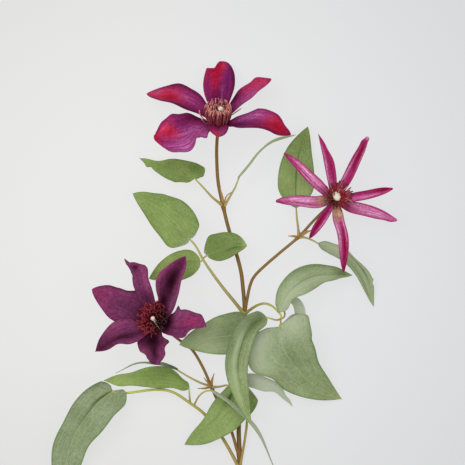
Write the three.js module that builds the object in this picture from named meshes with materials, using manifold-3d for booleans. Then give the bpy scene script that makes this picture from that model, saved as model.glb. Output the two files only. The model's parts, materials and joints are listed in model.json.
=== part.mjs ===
// A cut clematis spray that lies on its back: a branching stem with stalked leaves and three open flowers.
// Millimetres. +X is to the right, +Y runs up the stem to the top flower, +Z is up from the surface.
// The origin is the flat on the underside of the main stem, where the side stalks come together.
import * as THREE from "three";
import { mergeVertices } from "three/addons/utils/BufferGeometryUtils.js";
import Module from "manifold-3d";

const wasm = await Module();
wasm.setup();

// Driving dimensions, in mm
const GAP = 0.35; // clear space kept where two pieces meet
const BLADE = 0.7; // thickness of a leaf or a tepal
const TIP = 0.35; // half-width that a blade keeps at its very tip
const CROWDING = 0.6; // how much closer a blade's rows stand at its base and tip, from 0 to 1
const OTHER_EDGE = 1.3; // how far the ripple of a blade's left edge is ahead of the right one's, in radians
const FLAT = 1e-3; // the least bend of a blade across, in radians
const KNOT_SWELL = 0.55; // how far a stem thickens at a joint
const KNOT_SPAN = 3.2; // length over which it does so
// A tepal's claw: where it starts and ends from the flower's axis, its height on the button, the step up to
// the second whorl, which is every other tepal, and its half-width
const CLAW = { start: 2.5, end: 4.7, lift: 0.8, whorl: 1.1, half: 1.15 };
const STAMEN = { radii: [0.6, 0.36], sides: 3, steps: 2 };
const GOLDEN_ANGLE = Math.PI * (3 - Math.sqrt(5));
// The cells of a blade along its spine and across it
const BROAD_GRID = { along: 7, across: 6 };
const NARROW_GRID = { along: 7, across: 4 };

// Small helpers
const vec = ([x, y, z]) => new THREE.Vector3(x, y, z);
const mix = (a, b, t) => a + (b - a) * t;
const rad = THREE.MathUtils.degToRad;
const curveThrough = (points) => new THREE.CatmullRomCurve3(points, false, "catmullrom", 0.5);

// A small seeded generator, so that the draws are the same on every run
function seeded(seed) {
  let state = seed;
  return () => {
    state = (state * 1664525 + 1013904223) % 4294967296;
    return state / 4294967296;
  };
}

// Closed skins
// Joins rings of equal length into one closed skin. across is the number of cells over a blade's face,
// whose diagonals then mirror about the midrib and match on both faces. A round rod leaves it out.
function loft(rings, across = 0) {
  const size = rings[0].length;
  const corners = [];
  const at = (k, j) => k * size + (j % size);
  const quad = (a, b, c, d, flip) => corners.push(...(flip ? [a, b, d, b, c, d] : [a, b, c, a, c, d]));
  for (let k = 0; k + 1 < rings.length; k++) {
    for (let j = 0; j < size; j++) {
      const top = j <= across;
      const cell = top ? j : 2 * across - j;
      const flip = across > 0 && (cell < across / 2) !== top;
      quad(at(k, j), at(k, j + 1), at(k + 1, j + 1), at(k + 1, j), flip);
    }
  }
  const last = rings.length - 1;
  for (let i = 0; i < size / 2 - 1; i++) {
    const [a, b, c, d] = [i, i + 1, size - 2 - i, size - 1 - i];
    quad(at(0, d), at(0, c), at(0, b), at(0, a), false);
    quad(at(last, a), at(last, b), at(last, c), at(last, d), false);
  }
  const geometry = new THREE.BufferGeometry().setFromPoints(rings.flat());
  geometry.setIndex(corners);
  return geometry;
}

function solidOf(geometry) {
  const bare = geometry.clone();
  bare.deleteAttribute("normal");
  bare.deleteAttribute("uv");
  const merged = mergeVertices(bare, 1e-4);
  return new wasm.Manifold(
    new wasm.Mesh({
      numProp: 3,
      vertProperties: new Float32Array(merged.attributes.position.array),
      triVerts: new Uint32Array(merged.index.array),
    }),
  );
}

function geometryOf(solid) {
  const mesh = solid.getMesh();
  const geometry = new THREE.BufferGeometry();
  const places = new Float32Array(mesh.numVert * 3);
  for (let i = 0; i < mesh.numVert; i++) {
    places.set(mesh.vertProperties.subarray(i * mesh.numProp, i * mesh.numProp + 3), i * 3);
  }
  geometry.setAttribute("position", new THREE.BufferAttribute(places, 3));
  geometry.setIndex(new THREE.BufferAttribute(new Uint32Array(mesh.triVerts), 1));
  geometry.computeVertexNormals();
  return geometry;
}

// The largest connected body of a solid: what a cut shaves off as a loose scrap is dropped
function wholeOf(solid) {
  return solid.decompose().reduce((best, piece) => (piece.volume() > best.volume() ? piece : best));
}

// Rods: stems, stalks and filaments
// A rod follows its route, goes from radii[0] to radii[1], and thickens at each knot (a share of its length).
// Its lowest side is a flat that stays on or above the surface. extra fattens it and lengthens its ends.
function rod({ route, radii, sides = 8, steps = 12, knots = [], up = [0, 0, 1] }, extra = 0) {
  const curve = curveThrough(route.map(vec));
  const length = curve.getLength();
  const rings = [];
  for (let k = 0; k <= steps; k++) {
    const t = k / steps;
    const tangent = curve.getTangentAt(t);
    const side = tangent.clone().cross(vec(up)).normalize();
    const normal = side.clone().cross(tangent);
    const swell = knots.reduce((sum, knot) => sum + Math.exp(-((((t - knot) * length) / KNOT_SPAN) ** 2)), 0);
    const radius = (mix(radii[0], radii[1], t) + KNOT_SWELL * swell + extra) / Math.cos(Math.PI / sides);
    const middle = curve.getPointAt(t);
    if (k === 0) middle.addScaledVector(tangent, -extra);
    if (k === steps) middle.addScaledVector(tangent, extra);
    const ring = [];
    for (let j = 0; j < sides; j++) {
      const turn = ((j + 0.5) * 2 * Math.PI) / sides;
      const point = middle.clone();
      point.addScaledVector(side, -radius * Math.cos(turn)).addScaledVector(normal, radius * Math.sin(turn));
      if (extra === 0) point.z = Math.max(point.z, 0);
      ring.push(point);
    }
    rings.push(ring);
  }
  return solidOf(loft(rings));
}

// Blades: leaves, tepals and bracts
// A blade follows its spine from base to tip. face is the way its upper side looks, and roll turns it
// about the spine, in degrees at base and tip. half is the half-width. It is widest at the share "at" of its
// length, and round and point shape its outline before and after that. heel is the share of the width at the
// base, and lobe how far two round lobes reach back past it. Each may be a pair, for the left and right side.
// fold and bend lift the sides off the midrib, in degrees at base and tip: fold at the midrib, and bend more
// and more towards the edges. wave ripples the edges: height, count and phase. nick is a bite in one edge:
// side, place, depth and span. touches sets the blade down on the surface.
const sided = (value, u) => (Array.isArray(value) ? value[u < 0 ? 0 : 1] : value);

function bladePoint(b, curve, t, u) {
  const tangent = curve.getTangentAt(t);
  const side = tangent.clone().cross(vec(b.face)).normalize();
  const normal = side.clone().cross(tangent);
  const turn = rad(mix(b.roll[0], b.roll[1], t));
  const across = side.clone().multiplyScalar(Math.cos(turn)).addScaledVector(normal, -Math.sin(turn));
  const off = side.clone().multiplyScalar(Math.sin(turn)).addScaledVector(normal, Math.cos(turn));
  const share = Math.abs(u);
  const [at, heel] = [sided(b.at, u), sided(b.heel, u)];
  const rise =
    t < at
      ? heel + (1 - heel) * Math.sin((Math.PI / 2) * (t / at)) ** sided(b.round, u)
      : Math.cos((Math.PI / 2) * ((t - at) / (1 - at))) ** sided(b.point, u);
  let width = sided(b.half, u) * rise;
  if (b.nick && Math.sign(u) === b.nick[0]) {
    width -= b.nick[2] * Math.exp(-(((t - b.nick[1]) / b.nick[3]) ** 2));
  }
  width = Math.max(width, mix(b.neck, TIP, t));
  const fold = rad(mix(b.fold[0], b.fold[1], t));
  const curl = rad(mix(b.bend[0], b.bend[1], t));
  const bend = Math.abs(curl) < FLAT ? FLAT : curl;
  const out = (width / bend) * (Math.sin(fold + bend * share) - Math.sin(fold));
  const lift = (width / bend) * (Math.cos(fold) - Math.cos(fold + bend * share));
  const swing = Math.sin(2 * Math.PI * b.wave[1] * t + b.wave[2] + (u < 0 ? OTHER_EDGE : 0));
  const ripple = b.wave[0] * share ** 2 * swing * Math.sin(Math.PI * Math.min(1, t * 1.1 + 0.05));
  const back = t < at ? sided(b.lobe, u) * Math.sin(0.8 * Math.PI * share) * (1 - t / at) ** 2 : 0;
  return curve
    .getPointAt(t)
    .addScaledVector(across, Math.sign(u) * out)
    .addScaledVector(off, lift + ripple)
    .addScaledVector(tangent, -back);
}

const BLADE_DEFAULTS = {
  face: [0, 0, 1],
  roll: [0, 0],
  at: 0.35,
  heel: 0,
  lobe: 0,
  round: 0.8,
  point: 0.9,
  fold: [0, 0],
  bend: [0, 0],
  wave: [0, 0, 0],
  neck: 0.6,
  thickness: BLADE,
  grid: BROAD_GRID,
};

function blade(spec) {
  const b = { ...BLADE_DEFAULTS, ...spec };
  const curve = curveThrough(b.spine.map(vec));
  const { along, across } = b.grid;
  const sheet = [];
  for (let k = 0; k <= along; k++) {
    const s = k / along;
    const t = mix(s, (1 - Math.cos(Math.PI * s)) / 2, CROWDING);
    sheet.push(Array.from({ length: across + 1 }, (_, i) => bladePoint(b, curve, t, (2 * i) / across - 1)));
  }
  const at = (k, i) => sheet[Math.min(Math.max(k, 0), along)][Math.min(Math.max(i, 0), across)];
  const rings = sheet.map((row, k) => {
    const offsets = row.map((_, i) => {
      const forward = at(k + 1, i).clone().sub(at(k - 1, i));
      const right = at(k, i + 1).clone().sub(at(k, i - 1));
      return right.cross(forward).normalize().multiplyScalar(b.thickness / 2);
    });
    const upper = row.map((p, i) => p.clone().add(offsets[i]));
    const lower = row.map((p, i) => p.clone().sub(offsets[i]));
    return [...upper, ...lower.reverse()];
  });
  if (b.touches) {
    const lowest = Math.min(...rings.flat().map((p) => p.z));
    rings.flat().forEach((p) => (p.z -= lowest));
  }
  return solidOf(loft(rings, across));
}

// Stems and stalks: each side rod starts on the middle line of the one that carries it
const TOP_FLOWER = { centre: [-17, 272.5, 32], axis: [0, 0.82, 0.57] };
const RIGHT_FLOWER = { centre: [75.3, 211.5, 36], axis: [0.22, 0.24, 0.94] };
const LEFT_FLOWER = { centre: [-65, 113, 36], axis: [-0.36, 0.3, 0.88] };

const MAIN_STEM = {
  route: [
    [0, -76, 1.75], [0.3, -45, 1.75], [0, -15, 1.75], [-0.6, 12, 1.75], [-1, 30, 3], [0.5, 75, 7],
    [3.5, 118, 11], [2.3, 142, 12], [-0.5, 160, 13], [-9, 190, 13], [-13.5, 207, 12.5],
    [-17.5, 226, 12], [-18.7, 246, 13.5], [-18.4, 260, 21], [-17, 271, 30.5],
  ],
  radii: [2, 1.25],
  steps: 36,
  knots: [0.19, 0.515, 0.765],
};
const RIGHT_BRANCH = {
  route: [
    [3.6, 119, 11], [5.6, 132, 12.5], [8.2, 144, 14], [12, 151.5, 15], [20, 159.5, 16], [31, 169, 16.5],
    [47, 182.5, 18], [58, 194.5, 22], [68, 204.5, 29], [75, 211, 35],
  ],
  radii: [1.25, 1.05],
  sides: 6,
  steps: 17,
  knots: [0.62],
};
const LEFT_BRANCH = {
  route: [
    [-0.8, 6, 1.9], [-3, 13, 2.6], [-5.2, 21, 4], [-9, 32, 5.5], [-19, 53, 7.5], [-22.7, 62, 8.5],
    [-28.5, 78, 9], [-37, 92.5, 11], [-50, 101.5, 16], [-58.5, 108, 25], [-64.2, 112.3, 35],
  ],
  radii: [1.2, 1.05],
  sides: 6,
  steps: 17,
  knots: [0.45],
};

// Each stalk is a leaf's own stalk, which leaves a stem, with the short stalks of its leaflets
const STALKS = {
  upper_stalk_left: [
    {
      route: [[-13.8, 207.5, 12.5], [-22, 214, 15], [-29, 221.5, 18], [-36.5, 229.5, 20]],
      radii: [1.1, 0.6],
    },
  ],
  upper_stalk_right: [
    {
      route: [[-13.4, 206, 12.5], [-9.5, 212.5, 14], [-4, 222, 16.5], [-0.5, 231, 18]],
      radii: [1.1, 0.6],
    },
  ],
  right_branch_stalk_up: [
    {
      route: [[47.2, 182.7, 18], [46.5, 190, 18.5], [45.5, 198, 18], [45, 206, 17]],
      radii: [1.1, 0.6],
    },
  ],
  right_branch_stalk_down: [
    {
      route: [[46.8, 182.3, 18], [52, 182, 19], [57.5, 180, 20.5], [63, 177, 22]],
      radii: [0.95, 0.6],
    },
  ],
  mid_left_stalk: [
    {
      route: [
        [3.4, 120.5, 11.2], [-5, 131, 13.5], [-13.5, 141.5, 16], [-22, 153, 19.5], [-30, 165, 22.5],
        [-35, 174.5, 25], [-41, 181.5, 26.5],
      ],
      radii: [1.3, 0.6],
      steps: 14,
    },
    { route: [[-30, 165, 22.5], [-28, 166.6, 23.2], [-25.5, 168.2, 24]], radii: [0.75, 0.6], steps: 3 },
    { route: [[-29.6, 164.4, 22.5], [-31, 163, 22], [-32.8, 162.6, 21]], radii: [0.75, 0.6], steps: 3 },
  ],
  mid_right_stalk: [
    {
      route: [
        [3.8, 120.5, 11.3], [8, 124, 14], [14, 127.8, 18], [20, 129.2, 21], [26, 127, 23],
        [31, 121.5, 25], [33.4, 116.6, 27],
      ],
      radii: [1.2, 0.75],
      steps: 14,
    },
    {
      route: [[33.4, 116.6, 27], [29, 116, 28.5], [24.5, 117.2, 30.5], [20.3, 118.4, 33]],
      radii: [0.75, 0.6], steps: 6,
    },
    {
      route: [[33.4, 116.6, 27], [36, 119.5, 27.5], [35, 122.6, 27.5], [31.6, 123, 27.5]],
      radii: [0.75, 0.6], steps: 6,
    },
    { route: [[33.4, 116.6, 27], [32.2, 113.5, 28.5], [31, 110, 29]], radii: [0.75, 0.65], steps: 3 },
    { route: [[26, 127, 23], [31, 130.5, 20], [37, 132.5, 17]], radii: [0.75, 0.6], steps: 4 },
  ],
  low_left_stalk: [
    {
      route: [
        [-0.4, -4, 1.9], [-7.5, 9.5, 3], [-15.5, 23, 4.5], [-28, 39.5, 8], [-40, 49, 12], [-54, 58, 17],
        [-68, 60, 20], [-91, 57.2, 20], [-102.5, 58.5, 19],
      ],
      radii: [1.2, 0.7],
      steps: 22,
    },
    { route: [[-40, 49, 12], [-40.4, 54, 13], [-41, 61, 14]], radii: [0.75, 0.6], steps: 4 },
    {
      route: [[-37, 46.8, 11], [-33.5, 54, 14], [-28.5, 58.5, 18], [-23, 59.6, 23]],
      radii: [0.75, 0.6], steps: 7,
    },
  ],
  low_right_stalk: [
    {
      route: [
        [-0.2, -2, 1.9], [2, 9, 3], [4.2, 22, 4.5], [5.6, 36, 6.5], [7.5, 62, 10.5], [8.5, 85, 15],
        [9, 105, 21],
      ],
      radii: [1.1, 0.7],
      steps: 16,
    },
    { route: [[8, 70, 12], [6, 71, 16], [2.5, 69.5, 21]], radii: [0.75, 0.6], steps: 4 },
  ],
  left_branch_stalk_left: [
    {
      route: [[-22.9, 62.3, 8.5], [-31, 65, 9.5], [-40, 69.5, 10.5], [-51, 76, 10.5]],
      radii: [0.95, 0.6],
    },
  ],
  left_branch_stalk_right: [
    {
      route: [[-22.6, 61.8, 8.5], [-16, 62.4, 11], [-10, 63.5, 13.5], [-3, 61, 14.5]],
      radii: [0.95, 0.6],
    },
  ],
};

// Bracts: the small pointed scales at the joints, grown out of their stem
const BRACTS = {
  main_stem: [
    { spine: [[-13.4, 207, 12.8], [-14.2, 214, 15], [-16, 222, 17]], half: 1.1 },
    { spine: [[-13.2, 207, 13], [-11.2, 214.5, 15.5], [-7.2, 218.2, 16.5]], half: 0.6 },
  ],
  right_branch: [
    { spine: [[47, 182.5, 18], [43, 183, 20], [38.5, 183.2, 20.5]], half: 1 },
    { spine: [[47, 182.5, 18], [52.5, 186, 21.5], [58, 188, 22]], half: 1.5 },
  ],
  left_branch: [
    { spine: [[-22.7, 62, 8.5], [-22.4, 67.5, 11.5], [-20.6, 73, 12.5]], half: 1.1 },
    { spine: [[-22.9, 62, 8.5], [-26, 66, 12], [-29, 69.5, 13]], half: 0.9 },
    { spine: [[-22.7, 62, 8.5], [-28, 61, 11], [-34, 60.9, 12]], half: 0.9 },
  ],
};

// Leaves and leaflets: heart-shaped blades that end in a point
const HEART = { heel: 0.62, round: 0.75, point: 0.85, fold: [10, 4], bend: [8, 4], wave: [0.6, 1.5, 0] };
const LEAVES = {
  upper_leaf_left: {
    stalk: "upper_stalk_left",
    spine: [[-36.5, 229.5, 20], [-48, 237.2, 23], [-62, 240.6, 18], [-80.5, 245.5, 8]],
    half: [9.5, 6.8], heel: [0.45, 1.45], lobe: [0, 7], at: 0.28, face: [0.1, -0.1, 1],
  },
  upper_leaf_right: {
    stalk: "upper_stalk_right",
    spine: [[-0.5, 231, 18], [9, 242, 20], [21, 255.5, 20], [45, 264.4, 14]],
    grid: NARROW_GRID, half: 10, lobe: 3, at: 0.3, face: [0.72, -0.69, 0.02], fold: [5, 3],
  },
  right_branch_leaf_up: {
    stalk: "right_branch_stalk_up",
    spine: [[45, 206, 17], [44.8, 226, 15], [47, 248, 11], [54.5, 271, 8]],
    half: 15, lobe: 0, at: 0.3, face: [0.05, 0, 1],
  },
  right_branch_leaf_down: {
    stalk: "right_branch_stalk_down",
    spine: [[63.5, 177.3, 22], [82, 170, 26], [97, 154.5, 19], [107.5, 126.5, 2]],
    half: [7, 6.5], lobe: 2, at: 0.35, face: [0.15, 0.35, 0.9], touches: true,
  },
  mid_left_leaflet_end: {
    stalk: "mid_left_stalk",
    spine: [[-41, 181.5, 26.5], [-52, 194, 26], [-66, 206.5, 20], [-86, 217.3, 12]],
    half: [16.5, 17.5], lobe: 3, at: 0.28,
  },
  mid_left_leaflet_low: {
    stalk: "mid_left_stalk",
    spine: [[-32.8, 162.6, 21], [-44, 161.5, 21], [-58, 156.5, 16], [-73, 149, 11]],
    grid: NARROW_GRID, half: [12, 11], heel: 0.75, lobe: 1, at: 0.3,
  },
  mid_left_leaflet_near: {
    stalk: "mid_left_stalk",
    spine: [[-25.5, 168.2, 24], [-16, 171.5, 26.5], [-5, 175, 27], [5.5, 175.5, 25]],
    half: [14, 8.5], heel: [0.75, 0.6], lobe: [2, 3.5], at: 0.38, point: 0.7,
  },
  mid_right_leaflet_top: {
    stalk: "mid_right_stalk",
    spine: [[31.6, 123, 27.5], [40, 139.5, 31], [60, 151.5, 27], [90, 151.8, 11]],
    half: [9.5, 11], lobe: 1, at: 0.38, face: [-0.1, 0.1, 1],
  },
  mid_right_leaflet_back: {
    stalk: "mid_right_stalk",
    spine: [[37, 132.5, 17], [42, 131.5, 16], [47, 124, 15], [49, 104, 10]],
    grid: NARROW_GRID, half: [5.5, 6], lobe: 1, at: 0.4, heel: 0.3, face: [0.3, 0.3, 0.9],
  },
  mid_right_leaflet_big: {
    stalk: "mid_right_stalk",
    spine: [[31, 110, 29], [36.5, 90, 29], [54, 68, 19], [82, 52, 2]],
    half: [23.5, 25], heel: [1.12, 0.6], lobe: [13, 1], at: 0.24, touches: true, fold: [8, 4],
    point: [1.1, 0.95],
  },
  mid_right_leaflet_long: {
    stalk: "mid_right_stalk",
    spine: [[20.3, 118.4, 33], [6.5, 108, 41], [-1.5, 82, 43], [2, 56, 42], [8.7, 33.5, 40]],
    half: [8.5, 11], lobe: 1, at: 0.4, fold: [14, 8],
  },
  low_right_leaflet_end: {
    stalk: "low_right_stalk",
    spine: [[9, 105, 21], [-8, 103.5, 26], [-26, 101, 27], [-48.5, 96.2, 24]],
    half: [15, 18], lobe: 2, at: 0.32,
  },
  low_right_leaflet_side: {
    stalk: "low_right_stalk",
    spine: [[2.5, 69.5, 21], [14, 68.5, 23], [28, 61.5, 17], [42, 46.5, 5]],
    grid: NARROW_GRID, half: [8.5, 6], lobe: 2, at: 0.33, point: [0.85, 1.6],
  },
  left_branch_leaf_right: {
    stalk: "left_branch_stalk_right",
    spine: [[-3, 61, 14.5], [-9, 51, 15], [-24, 32.5, 11], [-44.5, 15.6, 5]],
    half: [19.5, 10], heel: [0.9, 0.6], lobe: [5, 3], at: 0.3, fold: [14, 6],
  },
  left_branch_leaf_left: {
    stalk: "left_branch_stalk_left",
    spine: [[-51, 76.5, 10.5], [-64, 80, 11], [-82, 81, 10], [-100, 73, 8]],
    grid: NARROW_GRID, half: 8.5, lobe: 2, at: 0.35, face: [0.05, 0.99, 0.12], fold: [4, 2],
  },
  low_left_leaflet_end: {
    stalk: "low_left_stalk",
    spine: [[-102.5, 58.5, 19], [-117, 46, 24], [-134, 20, 18], [-147, -28, 2]],
    half: [19, 17], lobe: [8.5, 3], at: 0.34, fold: [16, 8], touches: true,
  },
  low_left_leaflet_up: {
    stalk: "low_left_stalk",
    spine: [[-41, 61, 14], [-56, 69.5, 20], [-80, 69.7, 21], [-109, 67.4, 15]],
    half: [8, 9], heel: 0.35, at: 0.36, wave: [1.2, 2, 0.5],
  },
  low_left_leaflet_edge: {
    stalk: "low_left_stalk",
    spine: [[-23, 59.6, 23], [-6, 47.5, 31], [13, 28, 30], [29, -6, 22]],
    grid: NARROW_GRID, half: 7, lobe: 2, at: 0.38, face: [0.66, 0.72, 0.2], fold: [6, 2],
  },
};

// Flowers: broad tepals on two of them and narrow ones on the third. way is the points of a tepal's spine
// after its claw, on out to its tip.
const BROAD = { grid: BROAD_GRID, round: 0.95, point: 0.7, at: 0.55, neck: CLAW.half };
const NARROW = {
  ...BROAD,
  grid: NARROW_GRID,
  fold: [18, 14],
  bend: [10, 8],
  at: 0.5,
  round: 0.8,
  point: 0.62,
};
const FLOWERS = {
  top_flower: {
    ...TOP_FLOWER,
    shape: BROAD,
    tepals: [
      {
        way: [[-17.5, 289, 25], [-16.5, 306, 15], [-13, 323.7, 1]],
        half: [13, 13.5], fold: [16, 6], bend: [20, 10], nick: [-1, 0.93, 4.5, 0.05], touches: true,
      },
      {
        way: [[-32, 283, 29], [-52, 294, 24], [-74.7, 297.6, 12]],
        half: [14, 15], fold: [14, 6], bend: [14, 8],
      },
      {
        way: [[-32, 271, 40], [-51, 266, 48], [-68.5, 260.5, 50]],
        half: [19, 14], fold: [8, 0], bend: [6, 0], roll: [0, -38],
      },
      {
        way: [[-16.5, 267.5, 44], [-16.5, 263, 56], [-17.5, 261.6, 66]],
        half: [6.5, 8.5], fold: [16, 10], bend: [16, 10],
      },
      {
        way: [[-2, 273.5, 41], [13, 275.5, 50], [28, 272, 56], [40.5, 265, 58]],
        half: [13, 16], fold: [12, 4], bend: [12, 8],
      },
      {
        way: [[-4.5, 285.5, 31], [10, 299.5, 27], [25, 309, 22]],
        half: [10.5, 11.5], at: 0.6, round: 1.2, fold: [14, 6], bend: [10, 6], face: [-0.45, 0.72, 0.52],
      },
    ],
    stamens: { count: 24, reach: [4.5, 11.2], rise: [18, 16.5], seed: 7 },
    pistil: { radius: 2, height: 16.5 },
  },
  right_flower: {
    ...RIGHT_FLOWER,
    shape: NARROW,
    tepals: [
      { way: [[58.5, 226.5, 43], [46, 239.5, 45], [35, 249.5, 42]], half: 4.6 },
      { way: [[72.5, 231, 42], [69, 248, 44], [62.5, 264.5, 40]], half: 4.6, point: 0.95 },
      { way: [[85.5, 229, 38], [94, 246, 38], [102.3, 262.5, 33]], half: 4.8 },
      { way: [[91, 214, 39], [107, 217.5, 41], [122, 221, 38]], half: 4.4 },
      { way: [[88, 206.2, 34], [105, 202.5, 34], [125.5, 195.5, 31]], half: 4.8 },
      { way: [[78.5, 196, 41], [82, 180, 45], [82.5, 155, 43]], half: 4.7 },
      { way: [[66, 197, 37], [60.5, 189, 33], [55.5, 181.3, 28]], half: 3.7 },
      { way: [[60, 210.3, 42], [45, 211, 44], [28.5, 211, 41]], half: 4.9 },
    ],
    stamens: { count: 24, reach: [5, 12.5], rise: [12.5, 9], seed: 11 },
    pistil: { radius: 2.9, height: 10.5 },
  },
  left_flower: {
    ...LEFT_FLOWER,
    shape: BROAD,
    tepals: [
      {
        way: [[-81, 122.5, 31], [-99, 130, 31], [-118.5, 140.5, 26]],
        half: [15, 14.5], fold: [10, 2], bend: [6, -6],
      },
      {
        way: [[-80, 107.5, 38], [-98, 103.5, 40], [-115.5, 91, 34]],
        half: [10.5, 12.5], point: 0.95, roll: [-8, -20], fold: [6, 2], bend: [4, -4],
      },
      {
        way: [[-67, 101, 40], [-70, 91, 44], [-70, 81.5, 42], [-69.5, 82, 36]],
        half: [14, 13.5], at: 0.34, fold: [4, -4], bend: [0, -20], point: 1.2,
      },
      {
        way: [[-53, 112.5, 46], [-40.5, 113.5, 53], [-27, 111.2, 55]],
        half: [12.5, 13.5], at: 0.48, fold: [6, -6], bend: [0, -20], point: 0.9,
      },
      {
        way: [[-58, 127, 41], [-53, 146, 47], [-43.5, 167, 50]],
        half: 12, fold: [12, 20], bend: [10, 44],
      },
      {
        way: [[-72, 130, 37.5], [-80.5, 145, 42], [-82.5, 156, 41], [-86, 158.5, 34], [-92.5, 163.5, 32]],
        half: [7.5, 6.5], fold: [8, 4], bend: [-6, -10], at: 0.5,
      },
    ],
    stamens: { count: 24, reach: [5, 14], rise: [15, 11], seed: 19 },
    pistil: { radius: 2, height: 13 },
  },
};

const flowerAxis = (flower) => vec(flower.axis).normalize();

// A tepal starts with its narrow claw beside the flower's axis, on the button
function tepal(flower, spec, whorl) {
  const axis = flowerAxis(flower);
  const out = vec(spec.way[0]).sub(vec(flower.centre));
  out.addScaledVector(axis, -out.dot(axis)).normalize();
  const foot = vec(flower.centre).addScaledVector(axis, CLAW.lift + CLAW.whorl * whorl);
  const claw = [CLAW.start, CLAW.end].map((r) => foot.clone().addScaledVector(out, r).toArray());
  return blade({ ...flower.shape, face: axis.toArray(), ...spec, spine: [...claw, ...spec.way] });
}

// Turns a shape that stands on +Y so that it stands on the flower's centre along its axis
function stand(geometry, flower) {
  const turn = new THREE.Quaternion().setFromUnitVectors(new THREE.Vector3(0, 1, 0), flowerAxis(flower));
  return geometry.applyQuaternion(turn).translate(...flower.centre);
}

// A turned shape of a flower, from its profile's radii and heights
function turned(profile, flower) {
  const points = profile.map(([r, h]) => new THREE.Vector2(r, h));
  return solidOf(stand(new THREE.LatheGeometry(points, 10), flower));
}

// The button at the end of the flower stalk
const RECEPTACLE = { radius: 3.4, neck: 1.5, rim: -0.55, bottom: -2.2 };
function receptacle(flower) {
  const { radius, neck, rim, bottom } = RECEPTACLE;
  return turned([[0, bottom], [neck, bottom], [radius, rim], [radius, 0], [0, 0]], flower);
}

// The stamens: slim filaments that fan out and up from a low collar round the pistil. reach and rise are how
// far the tips of the innermost and the outermost one stand from the axis and above the button.
const COLLAR = { inner: 1.9, outer: 3.2, foot: 3, top: 4.6 };
const ROOT = { radius: 2.6, height: 3.8 }; // where a filament starts, inside the collar
const ELBOW = { inner: 3.4, share: 0.74, height: 0.6 }; // its middle, as shares of its reach and rise
const UNEVEN = { turn: 0.3, reach: [0.9, 1.1], rise: [0.92, 1.08] }; // how much their places and sizes vary
function stamens(flower) {
  const { count, reach, rise, seed } = flower.stamens;
  const random = seeded(seed);
  const axis = flowerAxis(flower);
  const side = axis.clone().cross(new THREE.Vector3(1, 0, 0)).normalize();
  const other = axis.clone().cross(side);
  const { inner, outer, foot, top } = COLLAR;
  const ring = [[inner, foot], [outer, foot], [outer, top], [inner, top], [inner, foot]];
  const pieces = [turned(ring, flower)];
  for (let i = 0; i < count; i++) {
    const layer = (i + 0.5) / count;
    const turn = i * GOLDEN_ANGLE + UNEVEN.turn * random();
    const out = side.clone().multiplyScalar(Math.cos(turn)).addScaledVector(other, Math.sin(turn));
    const far = mix(reach[0], reach[1], Math.sqrt(layer)) * mix(...UNEVEN.reach, random());
    const high = mix(rise[0], rise[1], layer ** 1.5) * mix(...UNEVEN.rise, random());
    const elbow = mix(ELBOW.inner, far * ELBOW.share, layer);
    const route = [[ROOT.radius, ROOT.height], [elbow, high * ELBOW.height], [far, high]].map(([r, h]) =>
      vec(flower.centre).addScaledVector(out, r).addScaledVector(axis, h).toArray(),
    );
    pieces.push(rod({ ...STAMEN, route, up: axis.toArray() }));
  }
  return pieces.reduce((whole, piece) => whole.add(piece));
}

// The pistil: a slim column with a pale rounded head
const STYLE = { foot: 0.4, base: 1.45, neck: 1.3 }; // its height on the button, and its radii below the head
function pistil(flower) {
  const { radius, height } = flower.pistil;
  const head = Math.min(height * 0.45, radius * 1.9);
  const below = (share) => height - head * share;
  const profile = [
    [0, STYLE.foot], [STYLE.base, STYLE.foot], [STYLE.neck, below(1)], [radius * 0.85, below(0.75)],
    [radius, below(0.45)], [radius * 0.7, below(0.12)], [0, height],
  ];
  return turned(profile, flower);
}

// Assembly
const COLOURS = {
  bark: 0x7a5a2c,
  stalk: 0x9ba045,
  leaf: 0x6f8f4e,
  top_flower: 0x8c1f58,
  right_flower: 0xb23c85,
  left_flower: 0x5c1f4a,
  top_stamens: 0x9c5a58,
  right_stamens: 0x6b1326,
  left_stamens: 0x7c1c1e,
  pistil: 0xe9e4d2,
};
const spray = new THREE.Group();

function place(name, solid, color, roughness = 0.7) {
  const material = new THREE.MeshStandardMaterial({ color, roughness, metalness: 0 });
  const mesh = new THREE.Mesh(geometryOf(solid), material);
  mesh.name = name;
  spray.add(mesh);
}

const BRACT = { at: 0.35, round: 0.6, point: 1, neck: 0.7, grid: { along: 3, across: 2 } };
const STEMS = {
  main_stem: { ...MAIN_STEM, flower: TOP_FLOWER },
  right_branch: { ...RIGHT_BRANCH, flower: RIGHT_FLOWER },
  left_branch: { ...LEFT_BRANCH, flower: LEFT_FLOWER },
};

// A stem with its bracts, and with extra the space that its neighbours keep clear of
function stem(name, extra = 0) {
  const bracts = BRACTS[name].map((spec) =>
    blade({ ...BRACT, ...spec, half: spec.half + extra, thickness: BLADE + 2 * extra }),
  );
  return bracts.reduce((whole, bract) => whole.add(bract), rod(STEMS[name], extra));
}

const clearance = Object.fromEntries(Object.keys(STEMS).map((name) => [name, stem(name, GAP)]));
for (const [name, { flower }] of Object.entries(STEMS)) {
  let solid = stem(name).add(receptacle(flower));
  if (name !== "main_stem") solid = solid.subtract(clearance.main_stem);
  place(name, wholeOf(solid), COLOURS.bark);
}

const stalkRods = (rods, extra) =>
  rods.map((spec) => rod({ sides: 6, steps: 8, ...spec }, extra)).reduce((whole, part) => whole.add(part));
for (const [name, rods] of Object.entries(STALKS)) {
  const solid = Object.values(clearance).reduce((rest, space) => rest.subtract(space), stalkRods(rods, 0));
  place(name, wholeOf(solid), COLOURS.stalk);
}

for (const [name, spec] of Object.entries(LEAVES)) {
  const stalk = stalkRods(STALKS[spec.stalk], GAP);
  place(name, wholeOf(blade({ ...HEART, ...spec }).subtract(stalk)), COLOURS.leaf);
}

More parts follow.
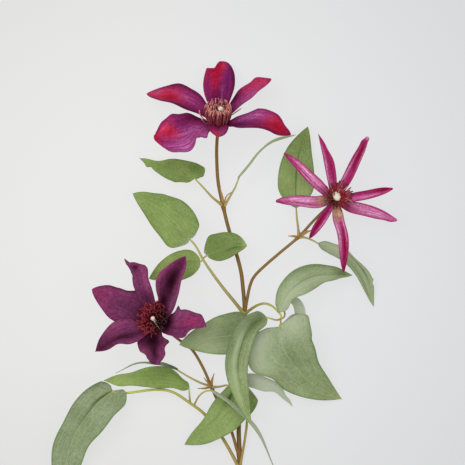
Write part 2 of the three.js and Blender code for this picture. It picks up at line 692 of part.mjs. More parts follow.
for (const [name, flower] of Object.entries(FLOWERS)) {
  flower.tepals.forEach((spec, i) => {
    place(`${name}_tepal_${i + 1}`, tepal(flower, spec, i % 2), COLOURS[name], 0.6);
  });
  place(`${name}_stamens`, stamens(flower), COLOURS[name.replace("flower", "stamens")]);
  place(`${name}_pistil`, pistil(flower), COLOURS.pistil, 0.5);
}

export default spray;
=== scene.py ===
# %% [markdown]
# # A cut clematis spray
# The spray lies on its back on a pale table: one woody stem, two side shoots, stalked leaves and three open
# flowers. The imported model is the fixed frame. It has every stem, leaf and petal as a plain solid, and this
# script puts a fine, natural piece in the place of each one. The pieces are given in millimetres.

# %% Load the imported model
import json
import math

import bpy
import numpy as np
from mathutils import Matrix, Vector


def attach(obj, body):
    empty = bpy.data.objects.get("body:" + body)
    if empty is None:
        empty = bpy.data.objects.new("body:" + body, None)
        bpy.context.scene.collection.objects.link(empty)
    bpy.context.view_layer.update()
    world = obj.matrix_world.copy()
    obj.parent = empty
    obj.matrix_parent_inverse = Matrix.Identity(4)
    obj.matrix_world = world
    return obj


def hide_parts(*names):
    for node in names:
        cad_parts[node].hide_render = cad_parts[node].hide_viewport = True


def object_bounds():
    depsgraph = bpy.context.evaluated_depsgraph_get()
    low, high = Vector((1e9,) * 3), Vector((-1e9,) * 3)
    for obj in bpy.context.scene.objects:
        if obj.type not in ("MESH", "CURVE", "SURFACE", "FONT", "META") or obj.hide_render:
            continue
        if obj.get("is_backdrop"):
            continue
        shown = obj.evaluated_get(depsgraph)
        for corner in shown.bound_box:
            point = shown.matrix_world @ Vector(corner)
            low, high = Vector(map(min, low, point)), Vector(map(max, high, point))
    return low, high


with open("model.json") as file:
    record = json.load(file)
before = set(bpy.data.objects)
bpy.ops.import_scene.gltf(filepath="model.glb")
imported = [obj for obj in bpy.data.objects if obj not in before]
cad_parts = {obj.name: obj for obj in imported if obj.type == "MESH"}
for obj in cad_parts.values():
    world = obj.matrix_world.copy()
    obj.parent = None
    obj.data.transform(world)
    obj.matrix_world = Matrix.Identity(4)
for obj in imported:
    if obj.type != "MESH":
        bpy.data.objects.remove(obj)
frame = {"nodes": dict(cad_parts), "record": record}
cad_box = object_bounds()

MM = 0.001
print("nodes in the frame:", len(frame["nodes"]))

# %% [markdown]
# ## Objects in the scene
# In Blender a camera, a lamp or a mesh is only data until an object places it in the scene. The commands of
# the Add menu make both at once, but they depend on what is selected. A small helper links the two directly.

# %% Add an object
def add_object(name, data):
    """Adds an object that holds a camera, a lamp or a mesh."""
    made = bpy.data.objects.new(name, data)
    bpy.context.scene.collection.objects.link(made)
    return made


# %% [markdown]
# ## Camera
# The photo looks straight down on the spray. An orthographic camera would do that with no perspective at
# all, and a camera close by would make the raised flowers look too big. A long lens far away lies between
# them and gives the flat view of the photo. The view is a square round one place on the table.

# %% Camera
VIEW_SIDE = 372 * MM
VIEW_MIDDLE = (-6 * MM, 186 * MM)
CAMERA_HEIGHT = 4.6
MIDDLE_HEIGHT = 25 * MM  # the height over the table where the view is exactly as wide as VIEW_SIDE
SENSOR = 36

camera_data = bpy.data.cameras.new("camera")
camera_data.sensor_width = SENSOR
camera_data.lens = SENSOR * (CAMERA_HEIGHT - MIDDLE_HEIGHT) / VIEW_SIDE
camera_data.clip_start = 0.1
camera_data.clip_end = 20
camera = add_object("camera", camera_data)
camera.location = (*VIEW_MIDDLE, CAMERA_HEIGHT)
bpy.context.scene.camera = camera
bpy.context.scene.view_settings.view_transform = "Standard"
print("lens:", round(camera_data.lens), "mm")

# %% [markdown]
# ## Light
# Product photos of flowers are lit from all round, so shadows are faint. Many small lamps could do that,
# but a pale world does most of the work and is set with one number. One large soft lamp from the upper left
# gives the leaves their form, and a weaker one fills the other side.

# %% Light
WORLD_LIGHT = 0.62
# name, place in metres, side in metres, power in watts
LAMPS = [
    ("key_light", (-0.7, 0.7, 2.2), 1.5, 30),
    ("fill_light", (1.3, -0.7, 1.9), 1.6, 10),
]

world = bpy.data.worlds.new("studio")
world.use_nodes = True
world.node_tree.nodes["Background"].inputs["Color"].default_value = (1, 1, 1, 1)
world.node_tree.nodes["Background"].inputs["Strength"].default_value = WORLD_LIGHT
bpy.context.scene.world = world

aim = Vector((*VIEW_MIDDLE, MIDDLE_HEIGHT))
for name, place, side, power in LAMPS:
    lamp_data = bpy.data.lights.new(name, "AREA")
    lamp_data.size = side
    lamp_data.energy = power
    lamp = add_object(name, lamp_data)
    lamp.location = place
    lamp.rotation_euler = (aim - Vector(place)).to_track_quat("-Z", "Y").to_euler()
print("lamps:", [lamp[0] for lamp in LAMPS])


# %% [markdown]
# ## Small helpers for shader nodes
# Materials are built from nodes. They could be placed by hand in the shader editor, but code can be read
# from top to bottom and run again. A small class keeps that code short. It adds a node and fills its
# inputs, does sums, blends two colours, and washes tints over a colour. Any input takes a number, a colour
# or another node's output.

# %% Colours
LIGHT_GAIN = 1.22  # how much brighter than its own colour a matt surface looks under the lamps


def linear(colour):
    """Undoes the sRGB curve: a colour of the picture, 0 to 255, becomes the linear colour of the surface."""
    share = np.array(colour) / 255
    share = np.where(share <= 0.04045, share / 12.92, ((share + 0.055) / 1.055) ** 2.4) / LIGHT_GAIN
    return (*share, 1.0)


# %% Shader nodes
class Nodes:
    """The nodes of a material or of a node group."""

    def __init__(self, tree):
        self.tree = tree

    def fill(self, socket, value):
        """Links a node's output to a socket, or sets the socket to a number or a colour."""
        if isinstance(value, bpy.types.NodeSocket):
            self.tree.links.new(value, socket)
        else:
            socket.default_value = value

    def add(self, kind, inputs=(), **settings):
        """Adds a node. inputs maps an input's name or number to what goes in."""
        made = self.tree.nodes.new("ShaderNode" + kind)
        for key, value in settings.items():
            setattr(made, key, value)
        for key, value in dict(inputs).items():
            self.fill(made.inputs[key], value)
        return made

    def sums(self, operation, *values, clamp=False):
        """One sum, such as MAXIMUM, on one to three values."""
        return self.add("Math", enumerate(values), operation=operation, use_clamp=clamp).outputs[0]

    def times(self, first, second):
        return self.sums("MULTIPLY", first, second)

    def spread(self, value, low, high, start=0.0, end=1.0):
        """Maps low..high smoothly onto start..end."""
        inputs = {"Value": value, "From Min": low, "From Max": high, "To Min": start, "To Max": end}
        return self.add("MapRange", inputs, interpolation_type="SMOOTHSTEP").outputs[0]

    def blend(self, share, first, second, kind="MIX"):
        """Blends two colours. Three numbers are a colour from 0 to 255, and four go in as they are."""
        first, second = (linear(c) if isinstance(c, tuple) and len(c) == 3 else c for c in (first, second))
        made = self.add("Mix", {0: share, 6: first, 7: second}, data_type="RGBA", blend_type=kind)
        return made.outputs[2]

    def wash(self, colour, *layers):
        """Lays tints over a colour, one after another. A layer is a mask, its strength and the tint."""
        for mask, strength, tint in layers:
            colour = self.blend(self.times(mask, strength), colour, tint)
        return colour

    def points(self, *names):
        """The numbers of these names that the mesh holds at each of its points."""
        found = [self.add("Attribute", attribute_type="GEOMETRY", attribute_name=name) for name in names]
        return [node.outputs["Fac"] for node in found]

    def bump(self, height, strength, depth):
        """Fine relief with a depth in mm."""
        inputs = {"Strength": strength, "Distance": depth * MM, "Height": height}
        return self.add("Bump", inputs).outputs[0]

    def group(self, effect, **inputs):
        """Places a node group. A space in an input's name is written as an underscore."""
        spaced = {key.replace("_", " "): value for key, value in inputs.items()}
        return self.add("Group", spaced, node_tree=effect.tree).outputs

    def shade(self, **looks):
        """Fills sockets of the material's own shader, with names written in the same way."""
        shader = self.tree.nodes["Principled BSDF"]
        for key, value in looks.items():
            self.fill(shader.inputs[key.replace("_", " ")], value)


def new_group(name, inputs, outputs):
    """A node group with number inputs and outputs: its nodes, what goes in and where its results go."""
    group = bpy.data.node_groups.new(name, "ShaderNodeTree")
    for label, value in inputs.items():
        socket = group.interface.new_socket(name=label, in_out="INPUT", socket_type="NodeSocketFloat")
        socket.default_value = value
    for label in outputs:
        group.interface.new_socket(name=label, in_out="OUTPUT", socket_type="NodeSocketFloat")
    given = group.nodes.new("NodeGroupInput").outputs
    print("effect:", name, "with", *outputs)
    return Nodes(group), given, group.nodes.new("NodeGroupOutput").inputs


def new_material(name, **looks):
    """A material with one Principled shader, and its nodes."""
    material = bpy.data.materials.new(name)
    material.use_nodes = True
    nodes = Nodes(material.node_tree)
    nodes.shade(**looks)
    print("material:", name)
    return material, nodes


# %% [markdown]
# ## Table
# The spray lies on a plain pale sheet. A sheet that only reflects would keep dark shadows under the leaves.
# A real light table glows, which washes them out as in the photo, so the sheet gives off some light of its
# own and reflects the rest. The glow is strongest at one spot, fades with the distance from it, and turns
# from a warm white on the left to a cool one on the right.

# %% Table
TABLE_HALF = 6.0
TABLE_GLOW = 0.712
TABLE_GLOW_FAR = 0.57
GLOW_REACH = (0.05, 0.4)  # the distances from the brightest spot between which the glow fades
BRIGHTEST_SPOT = (-0.07, 0.19, 0)
WARM_WHITE, COOL_WHITE = (1, 1, 0.985, 1), (0.985, 0.99, 1.01, 1)

table_material, nodes = new_material("pale_sheet", Roughness=0.9, Specular_IOR_Level=0.1)
grain = nodes.add("TexNoise", {"Scale": 900.0, "Detail": 2.0}).outputs["Fac"]
where = nodes.add("TexCoord").outputs["Object"]
rightward = nodes.spread(nodes.add("SeparateXYZ", {"Vector": where}).outputs["X"], -0.2, 0.2)
far = nodes.add("VectorMath", {0: where, 1: BRIGHTEST_SPOT}, operation="DISTANCE").outputs["Value"]
nodes.shade(
    Base_Color=nodes.blend(grain, (94, 94, 94), (97, 97, 97)),
    Emission_Color=nodes.blend(rightward, WARM_WHITE, COOL_WHITE),
    Emission_Strength=nodes.spread(far, *GLOW_REACH, TABLE_GLOW, TABLE_GLOW_FAR),
)

table_mesh = bpy.data.meshes.new("table")
corners = [(x * TABLE_HALF, y * TABLE_HALF, 0) for x, y in ((-1, -1), (1, -1), (1, 1), (-1, 1))]
table_mesh.from_pydata(corners, [], [(0, 1, 2, 3)])
table_mesh.materials.append(table_material)
table = add_object("table", table_mesh)
table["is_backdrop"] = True


# %% [markdown]
# ## Smooth routes
# Stems, midribs and stamens all follow a smooth curve through a few points. Blender's curve objects could
# draw them, but the veins and ribs need to know how far along the curve they are. So the script walks the
# curve itself. A Catmull-Rom curve passes through every point, and walking it by its length keeps the rings
# of a tube evenly apart. Each ring also needs a side and an upward direction, which come from the curve's
# direction and the way that the piece faces.
#
# Such points are given as text, because rows of plain numbers are quick to read and to change: a space
# stands between two numbers and a comma between two points.

# %% Smooth routes
STEPS_BETWEEN = 60  # fine steps between two points of a route


def rows(text):
    """The rows of numbers that a text holds."""
    return [[float(number) for number in row.split()] for row in text.split(",") if row.strip()]


def unit(vectors):
    """The same directions with length 1."""
    return vectors / np.linalg.norm(vectors, axis=-1, keepdims=True)


def along_route(points, t):
    """The places and directions at the shares t of a route's length, and the length."""
    known = np.array(points, float)
    known = np.vstack([2 * known[0] - known[1], known, 2 * known[-1] - known[-2]])
    pieces = len(known) - 3
    steps = np.linspace(0, pieces, pieces * STEPS_BETWEEN + 1)
    piece = np.minimum(steps.astype(int), pieces - 1)
    part = (steps - piece)[:, None]
    before, start, end, after = (known[piece + i] for i in range(4))
    leave, arrive = (end - before) / 2, (after - start) / 2
    line = (2 * part**3 - 3 * part**2 + 1) * start + (part**3 - 2 * part**2 + part) * leave
    line += (3 * part**2 - 2 * part**3) * end + (part**3 - part**2) * arrive
    walked = np.concatenate([[0], np.cumsum(np.linalg.norm(np.diff(line, axis=0), axis=1))])
    heading = unit(np.gradient(line, axis=0))
    wanted = np.asarray(t) * walked[-1]
    place = np.stack([np.interp(wanted, walked, line[:, i]) for i in range(3)], axis=-1)
    direction = np.stack([np.interp(wanted, walked, heading[:, i]) for i in range(3)], axis=-1)
    return place, unit(direction), walked[-1]


def side_and_up(direction, face):
    """The two directions square to a route, for a piece that faces the way of face."""
    side = unit(np.cross(direction, np.array(face, float)))
    return side, np.cross(side, direction)


# %% [markdown]
# ## From a grid of points to a closed piece
# A leaf is two sheets joined round the rim, and a stem is a tube with two ends. A Solidify modifier could
# thicken a sheet, but the two faces of a leaf have different relief. Both leaf and stem are grids of
# points, so one function turns a closed ring of points per step into a mesh. Numbers kept at each point,
# such as how far along the leaf it lies, let the materials draw veins where they grow.

# %% Closed pieces from rings of points
def ring_faces(steps, size):
    """The side faces of a tube whose rings have size points, and its two end faces."""
    ring, spot = np.meshgrid(np.arange(steps - 1), np.arange(size), indexing="ij")
    here, beside = ring * size + spot, ring * size + (spot + 1) % size
    sides = np.stack([here, beside, beside + size, here + size], axis=-1).reshape(-1, 4).tolist()
    last = (steps - 1) * size
    return sides + [list(range(size - 1, -1, -1)), list(range(last, last + size))]


class Bundle:
    """Gathers tubes or blades that grow together into one smooth piece."""

    def __init__(self):
        self.places, self.faces, self.values = [], [], {}

    def add(self, places, faces, values):
        first = sum(len(p) for p in self.places)
        self.places.append(places)
        self.faces += [[first + i for i in face] for face in faces]
        for key, numbers in values.items():
            self.values.setdefault(key, []).append(np.ravel(numbers))

    def finish(self, name, material, node, slot):
        """Makes the piece, which stands for a node of the frame."""
        mesh = bpy.data.meshes.new(name)
        mesh.from_pydata((np.vstack(self.places) * MM).tolist(), [], self.faces)
        mesh.polygons.foreach_set("use_smooth", [True] * len(mesh.polygons))
        for key, numbers in self.values.items():
            mesh.attributes.new(key, "FLOAT", "POINT").data.foreach_set("value", np.concatenate(numbers))
        mesh.materials.append(material)
        mesh.update()
        piece = add_object(name, mesh)
        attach(piece, "root")
        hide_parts(node)
        print(name, "has", len(mesh.vertices), "points")


# %% [markdown]
# ## Stems and stalks
# A clematis stem is a slim woody rod with shallow lengthwise ribs that thickens where leaves grow from it.
# Each one is a tube along its route. The ribs could be bump in the material, but real waves in each ring
# also show at the edges of the stem. The underside is pressed flat where the stem lies on the table.

# %% Tubes
RIB_COUNT = 7
RIB_DEPTH = 0.045  # as a share of the radius
KNOT_SWELL = 0.55  # how much a knot adds to the radius
KNOT_SPAN = 3.2  # how far from its middle a knot reaches
CAP_RING = 0.82  # the radius of the ring that closes a tube's end, as a share
CAP_BULGE = 0.1  # how far that ring stands out, as a share of the radius


def bell(x):
    """A smooth hump that is 1 at 0 and fades away on both sides."""
    return np.exp(-(x**2))


def tube(
    bundle, route, radii, sides, gap, knots=(), face=(0, 0, 1), ribs=RIB_DEPTH, flat=1, shape=None, **marks
):
    """Adds a ribbed tube with rings a gap apart. shape changes its radius, and its points keep the marks."""
    length = along_route(route, [0])[2]
    t = np.linspace(0, 1, max(4, int(length / gap)) + 1)
    middle, direction, _ = along_route(route, t)
    side, up = side_and_up(direction, face)
    swell = sum((bell((t - knot) * length / KNOT_SPAN) for knot in knots), np.zeros(len(t)))
    radius = radii[0] + (radii[1] - radii[0]) * t + KNOT_SWELL * swell
    if shape is not None:
        radius = radius * shape(t, length)
    turn = np.arange(sides) * 2 * math.pi / sides
    reach = radius[:, None] * (1 + ribs * np.cos(RIB_COUNT * turn))
    rings = middle[:, None] + reach[..., None] * (
        side[:, None] * np.cos(turn)[None, :, None] + flat * up[:, None] * np.sin(turn)[None, :, None]
    )
    ends = [
        middle[i] + sign * direction[i] * CAP_BULGE * radius[i] + (rings[i] - middle[i]) * CAP_RING
        for i, sign in ((0, -1), (-1, 1))
    ]
    rings = np.stack([ends[0], *rings, ends[1]])
    rings[..., 2] = np.maximum(rings[..., 2], 0)
    shares = np.concatenate([[0], t, [1]])
    grid = np.ones((len(shares), sides))
    values = {
        "along": shares[:, None] * grid,
        "run": shares[:, None] * length * grid,
        "around": np.sin(turn) * grid,
        "knot": np.concatenate([swell[:1], swell, swell[-1:]])[:, None] * grid,
    }
    values.update({key: number * grid for key, number in marks.items()})
    bundle.add(rings.reshape(-1, 3), ring_faces(len(rings), sides), values)


# %% [markdown]
# ## Leaves and petals
# A blade grows along a curved midrib. Its half-width swells quickly from the stalk and runs out to a point,
# its two sides lift off the midrib, and its edges ripple. Each blade could be sculpted by hand. A formula
# gives the place of any point on it instead, so the same blade can be as fine as it needs to be. Here it
# gets a groove along the midrib and softly sunk nerves, and it thins out towards the rim as a real leaf
# does.
#
# fold, bend and roll are angles in degrees, one at the base and one at the tip. half, at, heel, round,
# point, lobe and blunt may be pairs, for the left and the right half. wave and frill have a height in mm, a
# count and a phase.
#
# t runs along the blade from 0 to 1, and u across it from -1 to 1. A trim is a row with its place along the
# blade, its depth in mm, its span and, where the bite is square, a power. A negative depth swells the edge.

# %% Values that every blade starts from
TIP = 0.35  # the half-width at the very tip
OTHER_EDGE = 1.3  # how far the left edge's ripple is ahead of the right one's
FLAT = 1e-3  # the least bend in radians, because the formula divides by it
SOFT_FOLD = 0.05  # how much of the half-width the crease at the midrib is rounded over
LOBE_RISE = 0.45  # the share of the half-width over which a base lobe reaches its full length
BLUNT_FROM = 0.9  # where along the blade a blunt tip begins
CROWDING = 0.35  # how much closer the rings are at the base and the tip
COLUMN_CROWDING = 1.15
RIPPLE_START, RIPPLE_GAIN = 0.05, 1.1  # how soon the ripples set in beyond the base
TIP_THINNING = 0.05  # the share of the length over which the tip thins out
TIP_THICKNESS = 0.45  # what is left of the thickness at the very tip
RELIEF_FADE = 0.75  # how much of the relief is gone at the tip
SUNK_BELOW = 0.5  # how much of the relief also shows on the lower face
GROOVE_WIDTH, NERVE_WIDTH, RIB_WIDTH = 0.8, 0.7, 0.6
NERVES = (0.36, 0.7)  # where the side nerves run, as shares of the half-width
NERVE_START = 0.16  # the share of the length by which they have spread
NERVE_CURVE = 0.6
BLADE = dict(
    face=(0, 0, 1), roll=(0, 0), at=0.35, heel=0, lobe=0, lobe_turn=0.8, round=0.8, point=0.9, fold=(0, 0),
    bend=(0, 0), wave=(0, 0, 0), frill=(0, 0, 0), neck=0.6, corner=0.001, blunt=0, left="", right="",
    thick=0.5, rim=0.22, groove=0.2, rib=0.5, nerve=0.03, ribs=(0, 0), cells=(84, 48), touches=False,
    turned=False,
)


# %% Outline
def sided(value, left):
    """A value, or the left or right one of a pair, for each column of a blade."""
    if isinstance(value, tuple):
        return np.where(left, value[0], value[1])
    return np.full(left.shape, float(value))


def outline(form, t, u):
    """The half-width of a blade at the shares t of its length, for its left half where u is negative."""
    left = u < 0
    at, heel = sided(form["at"], left), sided(form["heel"], left)
    early = heel + (1 - heel) * np.sin(math.pi / 2 * np.clip(t / at, 0, 1)) ** sided(form["round"], left)
    late = np.cos(math.pi / 2 * np.clip((t - at) / (1 - at), 0, 1)) ** sided(form["point"], left)
    width = sided(form["half"], left) * np.where(t < at, early, late)
    for trims, side in ((form["left"], left), (form["right"], ~left)):
        for place, depth, span, *power in rows(trims):
            bite = np.exp(-(np.abs((t - place) / span) ** (power[0] if power else 2)))
            width = width - depth * bite * side
    width = width * (1 - (1 - np.clip(t / form["corner"], 0, 1)) ** 2) ** 0.5
    tip = sided(form["blunt"], left) * (1 - (np.clip((t - BLUNT_FROM) / (1 - BLUNT_FROM), 0, 1)) ** 6) ** 0.5
    width = np.maximum(width, tip * (t > BLUNT_FROM))
    return np.maximum(width, form["neck"] + (TIP - form["neck"]) * t)


# %% The middle sheet of a blade
def slope(pair, t):
    """The angle at t, in radians, that goes from the first to the second of a pair in degrees."""
    return np.radians(pair[0] + (pair[1] - pair[0]) * t)


def blade_sheet(form, along, columns):
    """The middle sheet of a blade as a grid of points, with t, u and the distance from the midrib."""
    t = along[:, None] * np.ones(len(columns))
    u = columns[None, :] * np.ones(len(along))[:, None]
    middle, direction, length = along_route(form["spine"], along)
    side, up = side_and_up(direction, form["face"])
    turn = slope(form["roll"], along)[:, None]
    across = side * np.cos(turn) - up * np.sin(turn)
    off = side * np.sin(turn) + up * np.cos(turn)
    share = np.abs(u)
    soft = np.sqrt(share**2 + SOFT_FOLD**2) - SOFT_FOLD
    width = outline(form, t, u)
    fold, curl = slope(form["fold"], t), slope(form["bend"], t)
    curl = np.where(np.abs(curl) < FLAT, FLAT, curl)
    out = width / curl * (np.sin(fold + curl * share) - np.sin(fold))
    lift = width / curl * (np.cos(fold) - np.cos(fold + curl * soft))
    hold = np.sin(math.pi * np.minimum(1, RIPPLE_GAIN * t + RIPPLE_START))
    for name, power, ahead in (("wave", 2, OTHER_EDGE), ("frill", 5, 2 * OTHER_EDGE)):
        height, count, phase = form[name]
        ripple = np.sin(2 * math.pi * count * t + phase + np.where(u < 0, ahead, 0))
        lift = lift + height * share**power * ripple * hold
    at, lobe = sided(form["at"], u < 0), sided(form["lobe"], u < 0)
    rise = np.sin(math.pi / 2 * np.clip(width / (LOBE_RISE * sided(form["half"], u < 0)), 0, 1))
    lobed = lobe * np.sin(math.pi * form["lobe_turn"] * share) * rise
    back = np.where(t < at, lobed * (1 - np.clip(t / at, 0, 1)) ** 2, 0)
    places = middle[:, None] + across[:, None] * (np.sign(u) * out)[..., None]
    places = places + off[:, None] * lift[..., None] - direction[:, None] * back[..., None]
    return places, t, u, width * u, length


# %% A closed blade with its relief
def nerve_relief(form, t, u, away):
    """How deep the midrib and the side nerves are sunk into the upper face, in mm."""
    fade = 1 - RELIEF_FADE * t
    depth = form["groove"] * fade * bell(away / GROOVE_WIDTH)
    width = away / np.where(u == 0, 1, u)
    opened = np.minimum(1, t / NERVE_START) ** NERVE_CURVE
    for nerve in NERVES:
        distance = (np.abs(u) - nerve * opened) * width
        depth = depth + form["nerve"] * fade * bell(distance / NERVE_WIDTH) * np.sin(math.pi * t)
    count, height = form["ribs"]
    return depth + height * np.cos(math.pi * count * u) * np.sin(math.pi * t) * (1 - u**4)


def doubled(grid):
    """A value of the upper face, kept for the lower face too, which runs back the other way."""
    return np.concatenate([grid, grid[:, ::-1]], axis=1)


def blade_faces(steps, size):
    """Both sheets and the rim as a tube, and strips across the base and the tip."""
    faces = ring_faces(steps, size)[:-2]
    last = (steps - 1) * size
    for i in range(size // 2 - 1):
        strip = [i, i + 1, size - 2 - i, size - 1 - i]
        faces += [strip[::-1], [last + corner for corner in strip]]
    return faces


def add_blade(bundle, spine, tones=None, **form):
    """Adds a closed blade. tones gives more numbers to keep at each point, from the blade, t and u."""
    form = {**BLADE, **form, "spine": spine}
    along, across = form["cells"]
    even = np.linspace(0, 1, along + 1)
    shares = even + CROWDING * ((1 - np.cos(math.pi * even)) / 2 - even)
    even = np.linspace(-1, 1, across + 1)
    columns = np.sign(even) * np.abs(even) ** COLUMN_CROWDING
    places, t, u, away, length = blade_sheet(form, shares, columns)
    forward, right = np.gradient(places, axis=0), np.gradient(places, axis=1)
    normals = unit(np.cross(right, forward))
    half = (form["rim"] + (form["thick"] - form["rim"]) * (1 - np.abs(u) ** 4) ** 0.5) / 2
    thinning = np.sqrt(np.clip((1 - t) / TIP_THINNING, 0, 1))
    half = half * (TIP_THICKNESS + (1 - TIP_THICKNESS) * thinning)
    sunk = nerve_relief(form, t, u, away)
    rib = form["rib"] * (1 - t) * bell(away / RIB_WIDTH)
    upper = places + normals * (half - sunk)[..., None]
    lower = places - normals * (half + rib + SUNK_BELOW * sunk)[..., None]
    rings = np.concatenate([upper, lower[:, ::-1]], axis=1)
    if form["touches"]:
        rings[..., 2] -= rings[..., 2].min()
    rings[..., 2] = np.maximum(rings[..., 2], 0)
    values = {"along": doubled(t), "across": doubled(u), "away": doubled(away), "run": doubled(t) * length}
    below = np.full_like(t, not form["turned"])
    values["under"] = np.concatenate([1 - below, below], axis=1)
    if tones:
        values.update(tones(form, doubled(t), doubled(u)))
    bundle.add(rings.reshape(-1, 3), blade_faces(*rings.shape[:2]), values)


# %% [markdown]
# ## Surface effects that materials share
# Four effects turn up on plants again and again: soft mottling, fine streaks that run with the growth, the
# net of veins in a leaf, and a band along the rim. Their nodes could be repeated in each material, but then
# every change would have to be made many times, so each effect is a node group. The groups give masks only,
# and the materials decide what a mask does.

# %% Mottling
mottling, given, result = new_group("mottling", {"Size mm": 10, "Contrast": 1}, ["Mask"])
where = mottling.add("TexCoord").outputs["Object"]
scale = mottling.sums("DIVIDE", 1 / MM, given["Size mm"])
cloud = mottling.add("TexNoise", {"Vector": where, "Scale": scale, "Detail": 3.0}).outputs["Fac"]
centred = mottling.sums("SUBTRACT", cloud, 0.5)
mottling.fill(result["Mask"], mottling.sums("MULTIPLY_ADD", centred, given["Contrast"], 0.5, clamp=True))

# %% Lengthwise streaks
streaks, given, result = new_group(
    "lengthwise_streaks", {"Across": 0, "Run": 0, "Count": 12, "Drift": 0.03}, ["Mask"]
)
stretched = {
    "X": streaks.times(given["Across"], given["Count"]),
    "Y": streaks.times(given["Run"], given["Drift"]),
}
spot = streaks.add("CombineXYZ", stretched).outputs[0]
lines = streaks.add("TexNoise", {"Vector": spot, "Scale": 1.0, "Detail": 3.0}).outputs["Fac"]
streaks.fill(result["Mask"], streaks.spread(lines, 0.32, 0.68))

# %% Leaf veins
leaf_veins, given, result = new_group(
    "leaf_veins", {"Along": 0, "Across": 0, "Away": 0, "Run": 0}, ["Rib", "Nerves", "Net"]
)
distance = leaf_veins.sums("ABSOLUTE", given["Away"])
share = leaf_veins.sums("ABSOLUTE", given["Across"])
slim = leaf_veins.sums("MULTIPLY_ADD", given["Along"], -0.45, 0.75)
width = leaf_veins.sums("DIVIDE", distance, leaf_veins.sums("MAXIMUM", share, 1e-3))
opened = leaf_veins.sums("DIVIDE", given["Along"], NERVE_START, clamp=True)
opened = leaf_veins.sums("POWER", opened, NERVE_CURVE)
nearest = 1.0
for nerve in NERVES:
    gap = leaf_veins.sums("SUBTRACT", share, leaf_veins.times(opened, nerve))
    gap = leaf_veins.times(leaf_veins.sums("ABSOLUTE", gap), width)
    nearest = leaf_veins.sums("MINIMUM", nearest, gap)
slant = leaf_veins.sums("MULTIPLY_ADD", distance, -0.6, given["Run"])
spot = leaf_veins.add("CombineXYZ", {"X": given["Away"], "Y": slant}).outputs[0]
net = {"Vector": spot, "Scale": 0.42, "Randomness": 0.9}
edges = leaf_veins.add("TexVoronoi", net, feature="DISTANCE_TO_EDGE").outputs["Distance"]
# name of the vein, how far off it is, and the distances at which its mask starts and stops to fade
for vein, gap, low, high in (
    ("Rib", leaf_veins.sums("DIVIDE", distance, slim), 0.35, 1),
    ("Nerves", nearest, 0.1, 0.5),
    ("Net", edges, 0.0, 0.12),
):
    leaf_veins.fill(result[vein], leaf_veins.sums("SUBTRACT", 1, leaf_veins.spread(gap, low, high)))

# %% Rim band
rim_band, given, result = new_group("rim_band", {"Across": 0, "Start": 0.9}, ["Mask"])
share = rim_band.sums("ABSOLUTE", given["Across"])
rim_band.fill(result["Mask"], rim_band.spread(share, given["Start"], 1.0))

# %% [markdown]
# ## Leaf material
# Some leaves are fresh green and others carry a grey bloom, mostly stronger near the stalk. A painted image
# could show that on one leaf. Here each leaf keeps the bloom as a number at its points, so one material
# fits them all. Ribs and nerves are paler, the rim is a darker green line, and the underside is
# dull grey-green. Waxy leaves have a soft sheen, so the roughness is middling and the veins give bump.
# Pale and dim patches are brushed over it. They are partly the uneven green of a real leaf and partly
# painted light and painted shade: light where a leaf lies in another's shadow or faces away from the lamps,
# shade in folds and hollows.

# %% Leaf material
leaf_skin, nodes = new_material("leaf_skin", Specular_IOR_Level=0.12)
along, across, away, run, under, grey, pale, dim = nodes.points(
    "along", "across", "away", "run", "under", "grey", "pale", "dim"
)
veins = nodes.group(leaf_veins, Along=along, Across=across, Away=away, Run=run)
broad = nodes.group(mottling, Size_mm=16.0, Contrast=1.7)["Mask"]
small = nodes.group(mottling, Size_mm=2.2, Contrast=3.0)["Mask"]
fine = nodes.group(streaks, Across=across, Run=run, Count=16.0, Drift=0.07)["Mask"]
rim = nodes.group(rim_band, Across=across, Start=0.86)["Mask"]

fresh = nodes.blend(broad, (99, 126, 47), (147, 172, 87))
glaucous = nodes.blend(broad, (121, 136, 103), (166, 175, 152))
above = nodes.wash(
    nodes.blend(grey, fresh, glaucous),
    (small, 0.5, (92, 116, 54)),
    (fine, 0.22, (172, 188, 134)),
    (veins["Net"], 0.26, (176, 192, 126)),
    (veins["Nerves"], nodes.spread(grey, 0.0, 1.0, 0.16, 0.36), (174, 192, 126)),
    (veins["Rib"], nodes.spread(grey, 0.0, 1.0, 0.25, 0.48), (176, 194, 118)),
    (rim, 0.55, (84, 120, 44)),
)
below = nodes.wash(
    nodes.blend(broad, (150, 160, 138), (172, 180, 160)),
    (veins["Net"], 0.25, (134, 146, 118)),
    (veins["Nerves"], 0.45, (176, 186, 148)),
)
# Tint of the pale strokes: partly a paler bloom, partly painted light. The dim strokes' dark green is partly
# painted shade.
pale_and_lit_tint = nodes.blend(grey, (176, 200, 112), (198, 208, 180))
colour = nodes.wash(above, (under, 1, below), (pale, 1, pale_and_lit_tint), (dim, 1, (58, 84, 22)))
height = nodes.sums("MULTIPLY_ADD", veins["Nerves"], -0.5, nodes.times(veins["Net"], -0.3))
height = nodes.sums("MULTIPLY_ADD", fine, 0.25, height)
nodes.shade(
    Base_Color=colour, Roughness=nodes.spread(grey, 0, 1, 0.5, 0.62), Normal=nodes.bump(height, 0.6, 0.2)
)

# %% [markdown]
# ## Leaves
# Each leaf has the midrib, width and tilt that its solid has. Its edge could be drawn point by point. Small
# trims that shape a heart are shorter to write and leave the veins where they grow.
#
# grey is how strong the grey bloom is at the base and at the tip. A leaf that shows its dull underside is
# marked as turned. pale and dim are brush strokes, each with its place along and across the leaf, its reach
# both ways and its strength. pale is partly a paler bloom and partly painted light, and dim is partly a
# darker green and partly painted shade.

# %% Make a leaf
HEART = dict(heel=0.62, round=0.75, point=0.85, fold=(10, 4), bend=(8, 4), wave=(0.6, 1.5, 0), corner=0.07)
LEAF_SLOTS = {row["node"]: row["material_slot"] for row in frame["record"]["subparts"]}


